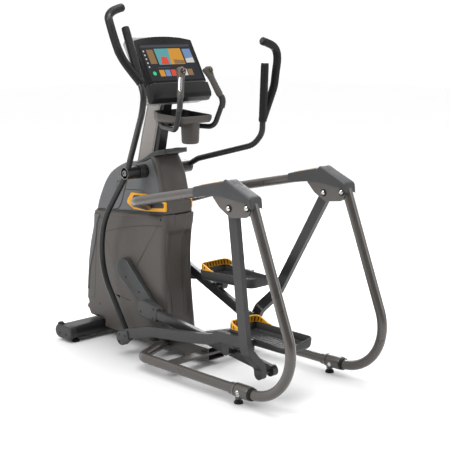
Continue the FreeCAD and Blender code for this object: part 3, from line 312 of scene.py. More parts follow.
def rounded(corners, steps=6):
    """Closed outline of (u, v) or (u, v, radius) corners, with its corners turned into arcs."""
    count = len(corners)
    line = []
    for index, corner in enumerate(corners):
        here = Vector(corner[:2])
        radius = corner[2] if len(corner) > 2 else 0.0
        if radius <= 0:
            line.append(tuple(here))
            continue
        back = (Vector(corners[index - 1][:2]) - here).normalized()
        ahead = (Vector(corners[(index + 1) % count][:2]) - here).normalized()
        half = back.angle(ahead) / 2
        centre = here + (back + ahead).normalized() * (radius / math.sin(half))
        first = here + back * (radius / math.tan(half)) - centre
        last = here + ahead * (radius / math.tan(half)) - centre
        turn = first.angle_signed(last)
        for step in range(steps + 1):
            spun = first.copy()
            spun.rotate(Matrix.Rotation(-turn * step / steps, 2))
            line.append(tuple(centre + spun))
    return line


def inset(line, distance):
    """Closed outline moved inwards by a distance."""
    area = sum(a[0] * b[1] - b[0] * a[1] for a, b in zip(line, line[1:] + line[:1]))
    sign = 1.0 if area > 0 else -1.0
    result = []
    for index, point in enumerate(line):
        before = Vector(line[index - 1])
        here = Vector(point)
        after = Vector(line[(index + 1) % len(line)])
        one = (here - before).normalized()
        two = (after - here).normalized()
        if one.length < 0.5:
            one = two
        if two.length < 0.5:
            two = one
        normal = Vector((-one.y - two.y, one.x + two.x)) * sign
        if normal.length < 1e-6:
            normal = Vector((-one.y, one.x)) * sign
        normal.normalize()
        lean = max(normal.dot(Vector((-one.y, one.x)) * sign), 0.6)
        result.append(tuple(here + normal * (distance / lean)))
    return result


def on_x(u, v, w):
    return (w, u, v)


def on_z(u, v, w):
    return (u, v, w)


def layers(line, steps, plane=on_x):
    """Rings of an outline at (level, inset) steps."""
    return [[plane(u, v, level) for u, v in inset(line, tuck)] for level, tuck in steps]


def layers_across(line, steps):
    """Rings of an outline through the middle plane, from (distance from it, inset) steps, inner one first."""
    return layers(line, [(-x, tuck) for x, tuck in steps[::-1]] + list(steps))


def new_piece(name, verts, faces, smooth=True):
    mesh = bpy.data.meshes.new(name)
    mesh.from_pydata(verts, [], faces)
    mesh.validate()
    work = bmesh.new()
    work.from_mesh(mesh)
    bmesh.ops.remove_doubles(work, verts=work.verts, dist=1e-6)
    bmesh.ops.recalc_face_normals(work, faces=work.faces)
    work.to_mesh(mesh)
    work.free()
    piece = bpy.data.objects.new(name, mesh)
    bpy.context.scene.collection.objects.link(piece)
    if smooth:
        mesh.polygons.foreach_set("use_smooth", [True] * len(mesh.polygons))
        mesh.set_sharp_from_angle(angle=SMOOTH_ANGLE)
    return piece


def loft(name, rings, first=True, last=True):
    """Piece between equal-length rings of vertices; its first and last rings are closed by flat faces."""
    size = len(rings[0])
    end = size * (len(rings) - 1)
    faces = [(level + step, level + (step + 1) % size, level + (step + 1) % size + size, level + step + size)
             for level in range(0, end, size) for step in range(size)]
    if first:
        faces.append(tuple(range(size))[::-1])
    if last:
        faces.append(tuple(range(end, end + size)))
    return new_piece(name, [vertex for ring in rings for vertex in ring], faces)


def extrusion(name, line, low, high, round_low=0.0, round_high=0.0, plane=on_x):
    """Solid of a closed outline between two levels, with rounded rims."""
    foot = [(low, 0.0)]
    head = [(high, 0.0)]
    turns = [math.pi / 8 * step for step in range(5)]
    if round_low:
        foot = [(low + round_low * (1 - math.cos(turn)), round_low * (1 - math.sin(turn))) for turn in turns]
    if round_high:
        head = [(high - round_high * (1 - math.sin(turn)), round_high * (1 - math.cos(turn)))
            for turn in turns]
    return loft(name, layers(line, foot + head, plane))


def swept(name, line, radii, segments, start_cap, end_cap):
    """Round bar along 3-D points with a radius for each; a cap is a share of the radius."""
    points = [Vector(point) for point in line]
    ways = [(ahead - behind).normalized()
            for behind, ahead in zip(points[:1] + points[:-1], points[1:] + points[-1:])]
    side = ways[0].orthogonal().normalized()
    frames = []
    for way in ways:
        side = (side - way * side.dot(way)).normalized()
        frames.append((side.copy(), way.cross(side).normalized()))

    def ring(index, size, shift=0.0):
        one, two = frames[index]
        centre = points[index] + ways[index] * shift
        return [tuple(centre + one * u + two * v) for u, v in circle((0, 0), size, segments)]

    def cap(index, reach):
        return [ring(index, radii[index] - abs(reach) * (1 - math.sin(turn)), reach * (1 - math.cos(turn)))
                for turn in (0.0, 0.5, 1.0)]

    middle = [ring(index, radii[index]) for index in range(1, len(points) - 1)]
    return loft(name, cap(0, radii[0] * start_cap) + middle + cap(-1, -radii[-1] * end_cap)[::-1])


def turned(name, profile, centre, axis=(1, 0, 0), segments=40):
    """Solid turned about an axis; the profile is (distance along, radius) from one end to the other."""
    way = Vector(axis).normalized()
    one = way.orthogonal().normalized()
    two = way.cross(one)
    rings = []
    for distance, radius in profile:
        base = Vector(centre) + way * distance
        rings.append([tuple(base + one * u + two * v) for u, v in circle((0, 0), radius, segments)])
    return loft(name, rings)


def sheet(name, grid):
    """Open curved sheet from a grid of points."""
    width = len(grid[0])
    faces = [(r * width + c, r * width + c + 1, (r + 1) * width + c + 1, (r + 1) * width + c)
             for r in range(len(grid) - 1) for c in range(width - 1)]
    return new_piece(name, [point for row in grid for point in row], faces)


def wall(piece, thickness, offset=-1.0):
    modifier = piece.modifiers.new("wall", "SOLIDIFY")
    modifier.thickness = thickness
    modifier.offset = offset


def flip(mesh):
    """Turns a left mesh into a right one."""
    mesh.transform(Matrix.Scale(-1, 4, (1, 0, 0)))
    mesh.flip_normals()


def finish(piece, slot, body="frame", instead="", look=None):
    """Gives a piece its material and its body, and hides the CAD node that it stands in for."""
    piece.data.materials.clear()
    piece.data.materials.append(look or MATERIALS[slot])
    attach(piece, body)
    if instead:
        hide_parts(instead)
    return piece


def of_side(node, side):
    """Name of the CAD node on one side, where there is one for each side."""
    return node + "_" + side if node + "_" + side in NODES else node


def both(piece, slot, instead="", look=None):
    """Finishes a piece of the frame's left side and its mirror image on the right."""
    base = piece.name
    mesh = piece.data.copy()
    flip(mesh)
    twin = bpy.data.objects.new(base + "_right", mesh)
    bpy.context.scene.collection.objects.link(twin)
    piece.name = base + "_left"
    return [finish(half, slot, "frame", of_side(instead, side), look)
            for side, half in (("left", piece), ("right", twin))]


def screw(name, side, x, spot, radius, body="frame"):
    """Small button-head screw with a recess, on an outer side face."""
    sign = SIDE_SIGN[side]
    profile = [(-0.003, radius * 0.9), (0.0, radius), (0.00072, radius * 0.95), (0.0012, radius * 0.7),
        (0.0012, radius * 0.42), (-0.0015, radius * 0.38), (-0.0015, 0.0002)]
    finish(turned(name + "_" + side, profile, (sign * x, *spot), (sign, 0, 0), 20), "soft_rubber", body)


# ---- linkage positions

AXLE = (0.54, 0.443)
HANDLE_TOP = (0.402, 1.004)
SWING_TOP = (-0.53, 0.948)
REAR_BOLT = (-0.648, 0.964)
THROW = 0.283
LINK_REACH = 0.9565
SWING_REACH = 0.812
PEDAL_REACH = 0.788
HANDLE_REACH = 0.904
KNEE_ALONG, KNEE_UP = 0.266, 0.02


def meet(one, reach_one, two, reach_two, side):
    """Point at given distances from two others, on the chosen side of the line between them."""
    gap = math.dist(one, two)
    way = ((two[0] - one[0]) / gap, (two[1] - one[1]) / gap)
    down = (gap * gap + reach_one ** 2 - reach_two ** 2) / (2 * gap)
    off = side * math.sqrt(reach_one ** 2 - down ** 2)
    return (one[0] + down * way[0] - off * way[1], one[1] + down * way[1] + off * way[0])


def direction(start, end):
    return math.atan2(end[1] - start[1], end[0] - start[0])


def linkage(degrees):
    """Pins and angles of one side at a crank angle, as the CAD has them."""
    turn = math.radians(degrees)
    pin = (AXLE[0] + THROW * math.cos(turn), AXLE[1] + THROW * math.sin(turn))
    rear = meet(pin, LINK_REACH, SWING_TOP, SWING_REACH, 1)
    link = direction(rear, pin)
    knee = (rear[0] + KNEE_ALONG * math.cos(link) - KNEE_UP * math.sin(link),
            rear[1] + KNEE_ALONG * math.sin(link) + KNEE_UP * math.cos(link))
    foot = meet(knee, PEDAL_REACH, HANDLE_TOP, HANDLE_REACH, -1)
    return {"axle": AXLE, "pin": pin, "knee": knee, "foot": foot, "top": HANDLE_TOP, "crank": turn,
            "link": link, "pedal": direction(knee, foot), "handle": direction(HANDLE_TOP, foot)}


POSE = {"left": linkage(218), "right": linkage(38)}
REST = POSE["left"]
SIDE_SIGN = {"left": -1, "right": 1}
PIVOT = {"crank": "axle", "link": "pin", "pedal": "knee", "handle": "top"}
DRAWN_AT = {"crank": 0.0, "link": 0.0, "pedal": REST["pedal"], "handle": REST["handle"]}


def on_both(draw, name, slot, body, instead="", look=None):
    """Draws a left piece about its body's pivot and puts it and its mirror image at their own poses."""
    for side, state in POSE.items():
        piece = draw(name + "_" + side)
        if side == "right":
            flip(piece.data)
        turn = Matrix.Rotation(state[body] - DRAWN_AT[body], 4, "X")
        piece.data.transform(Matrix.Translation((0, *state[PIVOT[body]])) @ turn)
        finish(piece, slot, body if body == "crank" else body + "_" + side, of_side(instead, side), look)


def spot_on(state, body, u, v):
    """Spot at (u, v) from a body's pivot, along and across its direction."""
    y, z = state[PIVOT[body]]
    cosine, sine = math.cos(state[body]), math.sin(state[body])
    return (y + u * cosine - v * sine, z + u * sine + v * cosine)


# ---- tower covers

LOWER_FRONT = smooth_line(mm((850, 735), (860, 640), (885, 560), (912, 440), (926, 310), (938, 205)), 5)
LOWER_REAR = smooth_line(mm((206, 100), (212, 160), (224, 270), (236, 400), (240, 500), (238, 590),
    (228, 680), (216, 735), (212, 783)), 6)
LOWER_BASE = rounded(mm((938, 205), (924, 180, 4), (940, 160, 5), (905, 102, 12), (790, 99, 10),
    (772, 98, 4), (764, 52, 6), (350, 52, 10), (336, 96, 10), (206, 100)))[1:-1]
LOWER_LINE = LOWER_FRONT + LOWER_BASE + LOWER_REAR
UPPER_FRONT = smooth_line(mm((838, 740), (822, 790), (795, 845), (755, 912), (706, 966), (640, 1006),
    (560, 1038), (470, 1048)), 4)
UPPER_REAR = smooth_line(mm((326, 1090), (292, 1040), (268, 985), (246, 905), (230, 840), (216, 789)), 5)
LOWER_HALF = 0.1075
UPPER_HALF = 0.0905


def ease(value, low, high):
    share = min(max((value - low) / (high - low), 0.0), 1.0)
    return share * share * (3 - 2 * share)


def channel_dip(x, height):
    """How far the concave channel in the rear face is set in."""
    across = 1.0 - ease(abs(x), 0.062, 0.092)
    return 0.0215 * across * ease(height, 0.165, 0.215) * (1.0 - ease(height, 0.668, 0.694))


def cover_rings(line, half, round_over, crown, inner):
    """Rings of a half shell: its wall out from the middle plane, a rounded rim and a crowned face."""
    rings = [[(x, u, v) for u, v in line] for x in inner]
    rings += layers(line, [(-half + round_over * (1 - math.sin(turn)), round_over * (1 - math.cos(turn)))
        for turn in [math.pi / 14 * step for step in range(8)]])
    last = inset(line, round_over)
    mid_u = sum(point[0] for point in last) / len(last)
    mid_v = sum(point[1] for point in last) / len(last)
    for share in (0.9, 0.75, 0.5, 0.25):
        rings.append([(-half - crown * (1 - share * share), mid_u + (u - mid_u) * share,
            mid_v + (v - mid_v) * share) for u, v in last])
    return rings


def shell_sheet(name, grid, thickness, slot):
    """Curved sheet with a wall, in place of the CAD node of the same name."""
    wall(finish(sheet(name, grid), slot, instead=name), thickness, 0.0)


def side_groove(name, line, width, x_face):
    """Narrow dark strip on both side faces where two mouldings meet; line is (y, z)."""
    left = []
    right = []
    for point, before, after in zip(line, line[:1] + line[:-1], line[1:] + line[-1:]):
        way = (Vector(after) - Vector(before)).normalized() * (width / 2)
        left.append((point[0] - way.y, point[1] + way.x))
        right.append((point[0] + way.y, point[1] - way.x))
    both(extrusion(name, left + right[::-1], x_face - 0.0004, x_face + 0.004), "dark_plastic")


def make_lower_tower():
    rings = cover_rings(LOWER_LINE, LOWER_HALF, 0.028, 0.002, (-0.0005, -0.015, -0.03, -0.0458, -0.054,
        -0.062, -0.067, -0.072, -0.076))
    shaped = []
    for ring in rings:
        shaped.append([])
        for x, y, z in ring:
            behind = 1.0 - ease(y, 0.25, 0.275)
            if behind > 0 and z < 0.79 and x > -0.0458:
                x += (-0.0458 - x) * behind
            if behind > 0:
                y += channel_dip(x, z) * behind
            shaped[-1].append((x, y, z))
    both(loft("lower_shroud", shaped, first=False), "shell_taupe", "lower_shroud")
    face = smooth_line(mm((212, 160), (224, 270), (236, 400), (240, 500), (238, 590), (228, 680),
        (216, 735), (212, 780)), 6)
    columns = [-0.0454 + 0.0908 * step / 14 for step in range(15)]
    grid = [[(x, y + channel_dip(x, z) + 0.001, z) for x in columns] for y, z in face]
    grid.insert(0, [(x, 0.207, 0.102) for x, y, z in grid[0]])
    shell_sheet("rear_channel_cover", grid, 0.002, "shell_taupe")
    grid = []
    for step in range(17):
        z = 0.262 + (0.716 - 0.262) * step / 16
        above, below = next((a, b) for a, b in zip(LOWER_FRONT, LOWER_FRONT[1:]) if b[1] <= z <= a[1])
        front = above[0] + (below[0] - above[0]) * (z - above[1]) / (below[1] - above[1]) + 0.002
        edge = 0.815 + 0.1 * ease(0.66 - z, 0.0, 0.42) if z < 0.66 else 0.815 - 0.03 * (z - 0.66) / 0.056
        row = [(-LOWER_HALF - 0.0016, edge + (front - 0.03 - edge) * share, z) for share in (0, 0.5)]
        row += [(x, y, z) for x, y in arc((-0.0795, front - 0.03), 0.03, math.pi, -math.pi / 2, 6)]
        row += [(-0.0795 + 0.0795 * part / 3, front, z) for part in (1, 2)]
        grid.append(row + [(0.0, front, z)] + [(-x, y, z) for x, y, z in row[::-1]])
    shell_sheet("front_panel", grid, 0.003, "shell_grey")
    side_groove("front_seam", smooth_line(mm((739, 708), (806, 690), (815, 640), (830, 473), (848, 244),
        (858, 222), (905, 205)), 5), 0.003, -LOWER_HALF - 0.0006)
    side_groove("band_seam", smooth_line(mm((740, 622), (705, 634), (596, 664), (473, 692), (337, 713),
        (245, 722)), 5), 0.0042, -LOWER_HALF - 0.0008)
    for side, sign in SIDE_SIGN.items():
        for name, spot in (("rear", (0.256, 0.755)), ("front", (0.8, 0.19)), ("low", (0.27, 0.15))):
            screw("shroud_screw_" + name, side, LOWER_HALF + 0.0004, spot, 0.0065)
        ring = turned("axle_ring_" + side, mm((-4, 28), (4, 28), (6, 25), (6, 19), (-4, 19), (-4, 20)),
            (sign * (LOWER_HALF + 0.0005), *AXLE), (sign, 0, 0))
        finish(ring, "dark_plastic")


def make_upper_tower():
    line = UPPER_FRONT + [(0.4, 1.06), (0.345, 1.086)] + [(y + 0.01, z) for y, z in UPPER_REAR]
    rings = cover_rings(line, UPPER_HALF, 0.014, 0.0015, (-0.0005, -0.03))
    both(loft("upper_shroud", rings, first=False), "shell_grey", "upper_shroud")
    grid = []
    for y, z in UPPER_REAR:
        dip = 0.01 * ease(z, 0.8, 0.86)
        row = [(-UPPER_HALF - 0.0012, y + 0.03, z), (-UPPER_HALF - 0.0012, y + 0.022, z)]
        row += [(u, v, z) for u, v in arc((-0.07, y + 0.0202), 0.0217, math.pi, math.pi / 2, 7)]
        row += [(x, y - 0.0015 + dip * max(0.0, 1 - (x / 0.066) ** 2), z) for x in (-0.055, -0.036, -0.018)]
        grid.append(row + [(0.0, y - 0.0015 + dip, z)] + [(-x, v, w) for x, v, w in row[::-1]])
    shell_sheet("spine_cover", grid, 0.003, "shell_taupe")
    side_groove("spine_seam", [(y + 0.033, z) for y, z in UPPER_REAR], 0.0042, -UPPER_HALF - 0.0004)

    def inlaid(name, line, proud, edge, slot):
        both(extrusion(name, line, -UPPER_HALF - proud, -UPPER_HALF + 0.003, edge), slot)

    recess = rounded(mm((640, 925, 4), (690, 752, 12), (632, 768, 10), (603, 806, 12), (550, 938, 4)))
    inlaid("handle_recess", recess, 0.0024, 0.0015, "dark_plastic")
    inlaid("handle_recess_floor", inset(recess, 0.006), 0.0029, 0.0, "shell_grey")
    frame_line = rounded(mm((516, 874, 8), (400, 880, 10), (300, 868, 20), (226, 850, 10), (226, 800, 10),
        (380, 786, 20), (492, 782, 10), (558, 812, 14), (545, 838, 10)))
    inlaid("rail_entry_trim", frame_line, 0.0065, 0.003, "accent_yellow")
    well = rounded(mm((492, 862, 8), (395, 868, 10), (300, 856, 20), (242, 842, 8), (242, 818, 8),
        (380, 802, 20), (482, 798, 10), (522, 818, 10)))
    inlaid("rail_entry_well", well, 0.0075, 0.001, "dark_plastic")
    gap = rounded(mm((840, 732, 2), (840, 742, 2), (222, 791, 2), (222, 780, 2)))
    finish(extrusion("ledge_gap", gap, -UPPER_HALF + 0.004, UPPER_HALF - 0.004), "dark_plastic")


def make_top_cap():
    """Dark cap over the tower: a slab that rises to the rear and ends in a rounded nose."""
    spine = smooth_line(mm((470, 1046), (400, 1078), (345, 1108.5), (295, 1124), (262, 1131), (248, 1133.2),
        (238.5, 1133.8)), 6)
    rings = []
    for index, (y, z) in enumerate(spine):
        share = index / (len(spine) - 1)
        nose = max(0.0, (share - 0.72) / 0.28)
        half = 0.0908 * (1 - 0.1 * ease(share, 0.5, 0.8)) * math.sqrt(1 - 0.93 * nose ** 2.2)
        thick = (0.01 + 0.016 * ease(share, 0.0, 0.35)) * (1 - 0.45 * nose ** 3)
        section = rounded([(-half, z - thick, 0.003), (half, z - thick, 0.003), (half, z, 0.0048),
            (0.0, z + 0.0035, 0.2), (-half, z, 0.0048)], 4)
        rings.append([(x, y, level) for x, level in section])
    finish(loft("top_cap_slab", rings), "dark_plastic", instead="top_cap", look=COVER_LOOK)
    for side, sign in SIDE_SIGN.items():
        housing = turned("handle_housing_" + side, mm((40, 20), (40, 36.5), (128, 37.2), (133, 37.2),
            (133.5, 34.5), (136.5, 34.5), (137, 37.2), (144, 37.2), (148, 35), (148, 16)), (0, *HANDLE_TOP),
            (sign, 0, 0))
        finish(housing, "dark_plastic")


make_lower_tower()
make_upper_tower()
make_top_cap()

# ---- linkage covers and pedals

def round_hull(one, radius_one, two, radius_two, steps=18):
    """Closed outline round two circles."""
    gap = math.dist(one, two)
    bearing = direction(one, two)
    lean = math.acos((radius_one - radius_two) / gap)
    line = []
    for centre, radius, start, end in ((one, radius_one, lean, 2 * math.pi - lean),
            (two, radius_two, -lean, lean)):
        for step in range(steps + 1):
            turn = bearing + start + (end - start) * step / steps
            line.append((centre[0] + radius * math.cos(turn), centre[1] + radius * math.sin(turn)))
    return line


def crank_cover(name):
    line = round_hull((0, 0), 0.0625, (THROW, 0), 0.0385)
    return loft(name, layers(line, mm((-116.5, 2), (-117.5, 0), (-139, 0), (-143.5, 1.2), (-146.5, 4),
        (-147.8, 8), (-148, 14))))


def link_cover(name):
    drum = arc((0, 0), 0.0478, -math.pi / 2, math.pi, 24)
    line = rounded(mm((-116, 41, 12), (-116, -41, 12), (-40, -47.5)) + drum
        + [(-0.04, 0.0475)], 5)
    return loft(name, layers(line, mm((-150.5, 4), (-151.2, 1), (-154, 0), (-170.5, 0), (-171.2, 1.2),
        (-172.2, 1.2), (-173, 0), (-187, 0), (-190.5, 1.4), (-192.5, 5), (-193, 10))))


def knuckle_cover(name):
    """Clam cover over the front end of the pedal arm; drawn about the knee."""
    foot = (PEDAL_REACH * math.cos(REST["pedal"]), PEDAL_REACH * math.sin(REST["pedal"]))
    back = math.atan2(0.03, -0.06)
    line = arc(foot, 0.0405, back + math.radians(62), math.radians(236), 24)
    line += [(foot[0] + u, foot[1] + v)
             for u, v in mm((-30, 46), (-54, 52), (-66, 2), (-46, -14))]
    return loft(name, layers(line, mm((-236.2, 3), (-237.5, 0), (-250, 0), (-250.8, 1.3), (-251.8, 1.3),
        (-252.6, 0), (-265, 0), (-269, 1.6), (-270.5, 6))))


TRAY = mm((-233.5, -411.5, 42), (-30.5, -411.5, 42), (-30.5, -12.5, 28), (-233.5, -12.5, 28))


def tub_rings(line, outside, lip, rim, inside):
    """Rings of an open tub: up its outside, over a rolled rim whose height varies, and down its inside."""
    rings = layers(line, outside, on_z)
    rings += [[(u, v, rim(u, v) - drop) for u, v in inset(line, tuck)] for drop, tuck in lip]
    return rings + layers(line, inside, on_z)


def pedal_tray(name):
    """Foot tray: rounded tub with a rolled rim that drops towards its outer rear corner."""
    def rim(u, v):
        outside = ease(-u, 0.1, 0.215)
        return 0.1155 + 0.001 * ease(v, -0.3, -0.1) - 0.021 * outside * ease(-v, 0.17, 0.3)

    return loft(name, tub_rings(rounded(TRAY, 7), mm((60.5, 26), (62.5, 15), (69, 8), (80, 3)),
        mm((6, 0), (2, 0.8), (0, 3), (0.4, 6), (3, 8.2)), rim, mm((82, 11), (73.8, 20), (72.5, 26))))


def tread(name):
    """Raised non-slip bars on the tray floor."""
    verts = []
    faces = []
    for row in range(14):
        y = -0.38 + row * 0.0235
        for column in range(5):
            x = -0.202 + column * 0.0335 + (0.008 if row % 2 else 0.0)
            base = len(verts)
            for level, tuck in mm((71.8, 0), (74.2, 0.6), (74.8, 1.6)):
                verts += [(x + su * (0.0125 - tuck), y + sv * (0.0045 - tuck), level)
                          for su, sv in ((-1, -1), (1, -1), (1, 1), (-1, 1))]
            faces += [(base + level + step, base + level + (step + 1) % 4, base + level + (step + 1) % 4 + 4,
                       base + level + step + 4) for level in (0, 4) for step in range(4)]
            faces += [(base + 8, base + 9, base + 10, base + 11), (base + 3, base + 2, base + 1, base)]
    return new_piece(name, verts, faces)


def guard_path():
    line = rounded(mm((-229, -123), (-229, -17.5, 34), (-35, -17.5, 34), (-35, -123)),
        10)
    path = [(-0.229, -0.123 + 0.072 * step / 8) for step in range(8)]
    path += line[1:-1]
    path += [(-0.035, -0.051 - 0.072 * step / 8) for step in range(1, 9)]
    return path


def guard_top(share):
    return 0.152 - 0.031 * ease(abs(share - 0.5), 0.24, 0.5)


def along_guard(share):
    """Point and outward normal on the guard's path."""
    point, way = along(guard_path(), share)
    return point, Vector((-way.y, way.x))


def toe_guard(name):
    """Thick yellow band round the front of the tray, tapering down to the rim at both ends."""
    rings = []
    for share in [step / 48 for step in range(49)]:
        point, normal = along_guard(share)
        top = guard_top(share)
        outer = [(0.0038, 0.1175), (0.0042, 0.119), (0.0034, top - 0.006), (0.0046, top - 0.0042),
                 (0.0044, top - 0.001), (0.003, top)]
        ring = outer + [(-across, level) for across, level in outer[::-1]]
        rings.append([(*(point + normal * across), max(level, 0.1175)) for across, level in ring])
    return loft(name, rings)


def guard_slots(name):
    """Dark slanted slots through the guard, where it is tall enough for them."""
    verts = []
    faces = []
    for share in [0.17 + 0.66 * index / 12 for index in range(13)]:
        top = guard_top(share) - 0.0075
        if top < 0.1275:
            continue
        base = len(verts)
        for off, level in ((0.0, 0.1225), (0.018, 0.1225), (0.032, top), (0.014, top)):
            point, normal = along_guard(share - 0.016 + off)
            verts += [(*(point + normal * across), level) for across in (-0.0047, 0.0047)]
        faces += [tuple(base + step for step in face) for face in
                  ((0, 2, 4, 6), (7, 5, 3, 1), (0, 1, 3, 2), (2, 3, 5, 4), (4, 5, 7, 6), (6, 7, 1, 0))]
    return new_piece(name, verts, faces, False)


def make_linkage():
    on_both(crank_cover, "crank_cover", "dark_plastic", "crank", "crank_covers", COVER_LOOK)
    on_both(link_cover, "link_knuckle", "dark_plastic", "link", "link_cover", COVER_LOOK)
    on_both(knuckle_cover, "pedal_knuckle", "dark_plastic", "pedal", "", COVER_LOOK)
    on_both(pedal_tray, "pedal_tub", "pedal_plastic", "pedal", "pedal_tray")
    on_both(tread, "pedal_tread", "pedal_plastic", "pedal")
    on_both(toe_guard, "toe_frame", "accent_yellow", "pedal", "toe_guard")
    on_both(guard_slots, "toe_slots", "accent_yellow", "pedal", "", MATERIALS["soft_rubber"])
    for side, state in POSE.items():
        for share, off in ((0.16, 0.012), (0.62, -0.004)):
            screw("crank_cover_screw_%d" % (share * 100), side, 0.148,
                spot_on(state, "crank", THROW * share, off), 0.0064, "crank")
        for index, (u, v) in enumerate(mm((12, -20), (-88, 26), (-88, -26))):
            screw("link_screw_%d" % index, side, 0.193, spot_on(state, "link", u, v), 0.0064, "link_" + side)
        for index, (u, v) in enumerate(mm((14, 18), (12, -20), (-36, 20))):
            screw("knuckle_screw_%d" % index, side, 0.2705, (state["foot"][0] + u, state["foot"][1] + v),
                0.0062, "pedal_" + side)


# ---- handle grips

def make_grips():
    base = Vector((-0.3254, -0.2536, 0.4966))
    top = Vector((-0.30675, -0.1182, 0.7666))

    def inner_grip(name):
        line = [tuple(base + (top - base) * share / 16) for share in range(17)]
        return swept(name, line, [0.019] + [0.0212] * 16, 24, 0.2, 0.35)

    def outer_grip(name):
        line = smooth_line(mm((-325.4, -253.6, 496.6), (-352, -224, 546), (-380, -192, 604),
            (-394.5, -170, 655), (-397.5, -142, 714), (-397.5, -114, 778), (-389, -91, 817),
            (-360, -79, 843), (-318, -70, 857), (-276, -61, 866)), 5)
        return swept(name, line, [0.0216] * len(line), 24, 0.2, 0.35)

    def collar(name):
        way = (top - base).normalized()
        return turned(name, mm((-10, 16.5), (-10, 20.6), (-6, 22.2), (10, 22.2), (14, 21.2), (14, 17)),
            base, way, 28)

    def end_disc(name):
        return turned(name, mm((-1, 13.5), (0.8, 13.5), (1.2, 12.5), (1.2, 0.2)),
            (-0.2755, -0.0598, 0.8688), (0.957, 0.215, 0.19), 24)

    def hub_cap(name):
        return turned(name, mm((226, 30), (232.5, 33.5), (233.5, 33), (233.5, 29.5), (232, 28.5), (232, 17),
            (234.5, 15.5), (235, 13), (235, 7.5), (232.5, 7), (232.5, 0.2)), (0, 0, 0), (-1, 0, 0), 36)

    on_both(inner_grip, "inner_grip", "grip_rubber", "handle", "handle_grips")
    on_both(outer_grip, "outer_grip", "grip_rubber", "handle")
    on_both(collar, "grip_collar", "grip_rubber", "handle")
    on_both(end_disc, "grip_end", "dark_plastic", "handle")
    on_both(hub_cap, "handle_hub_cap", "machined_steel", "handle", "", HUB_LOOK)


make_linkage()
make_grips()

# ---- console and screen

TILT = math.radians(31)
FACE_LOW = (0.23, 1.485)


def tilted(u, v, w):
    """Console plane: u across, v up the face, w out of the face towards the user."""
    return (u, FACE_LOW[0] + v * math.sin(TILT) - w * math.cos(TILT),
            FACE_LOW[1] + v * math.cos(TILT) + w * math.sin(TILT))


def bezel_line():
    """Outline of the console's face, with straight sides and an arched top edge."""
    half_low, half_high, low, shoulder, crown = 0.2, 0.205, -0.012, 0.248, 0.024
    base = rounded([(half_low, low, 0.012), (-half_low, low, 0.012), (-half_high, shoulder),
        (half_high, shoulder)], 5)
    arch = [(half_high * share, shoulder + crown * (1 - abs(share) ** 2.2))
            for share in [step / 6 - 1 for step in range(13)]]
    return [point for point in base if point[1] < shoulder - 0.001] + arch


def emission_tile(name, colour):
    look = Look(name, (0.004, 0.004, 0.005), 0.35, level=0.08)
    fill(look.shader, {"Emission Color": (*colour, 1.0), "Emission Strength": 1.0})
    look.bump(look.grain(120.0, 1.0), 0.01, 0.0002)
    return look.material


def box(left, right, low, high):
    return [(left, low), (right, low), (right, high), (left, high)]


def make_screen():
    """Plain coloured tiles that stand for the screen's pictures; there is no lettering."""
    hues = {"dark": (0.018, 0.02, 0.024), "panel": (0.055, 0.058, 0.064), "amber": (0.62, 0.28, 0.03),
            "teal": (0.1, 0.34, 0.36), "red": (0.66, 0.07, 0.03), "sky": (0.16, 0.26, 0.46),
            "green": (0.05, 0.62, 0.22), "pale": (0.62, 0.6, 0.56), "brown": (0.26, 0.15, 0.06)}
    glow = {name: emission_tile("ui_" + name, hue) for name, hue in hues.items()}
    tiles = [
        ("sheet", mm((-163, 8), (163, 8), (159, 202), (-159, 202)), 0.0, "dark", 0.003),
        ("top_bar", mm((-155, 186), (155, 186), (154, 198), (-154, 198)), 0.0004, "panel", 0.003),
        ("hero", box(-0.078, 0.088, 0.092, 0.178), 0.0004, "amber", 0.003),
        ("hero_band", mm((-78, 92), (-4, 92), (12, 178), (-78, 178)), 0.0007, "teal", 0.0),
        ("hero_patch", mm((-62, 94), (-12, 94), (-16, 132), (-52, 136)), 0.001, "red", 0.004),
        ("hero_shade", mm((20, 94), (86, 94), (86, 112), (20, 118)), 0.001, "brown", 0.0),
        ("side_left", box(-0.128, -0.088, 0.098, 0.174), 0.0004, "brown", 0.003),
        ("side_right", box(0.098, 0.15, 0.098, 0.174), 0.0004, "sky", 0.003),
        ("side_right_low", mm((98, 98), (150, 98), (150, 126), (98, 120)), 0.0007, "pale", 0.0),
        ("start", circle((-0.128, 0.047), 0.0105, 24), 0.0004, "green", 0.0),
        ("line", box(-0.096, -0.02, 0.074, 0.079), 0.0004, "panel", 0.001)]
    for index, hue in enumerate(("amber", "sky", "red", "teal", "pale", "brown")):
        left = -0.096 + index * 0.036
        tiles.append(("card_%d" % index, box(left, left + 0.031, 0.03, 0.064), 0.0004, hue, 0.002))
    for index in range(5):
        low = 0.162 - index * 0.021
        tiles.append(("icon_%d" % index, box(-0.15, -0.142, low, low + 0.008), 0.0004, "pale", 0.002))
    for name, corners, lift, hue, radius in tiles:
        line = [(u * 1.1, v * 1.1, radius) for u, v in corners]
        piece = extrusion("ui_" + name, rounded(line, 3), 0.0071 + lift, 0.0079 + lift, plane=tilted)
        finish(piece, "screen_glass", look=glow[hue])


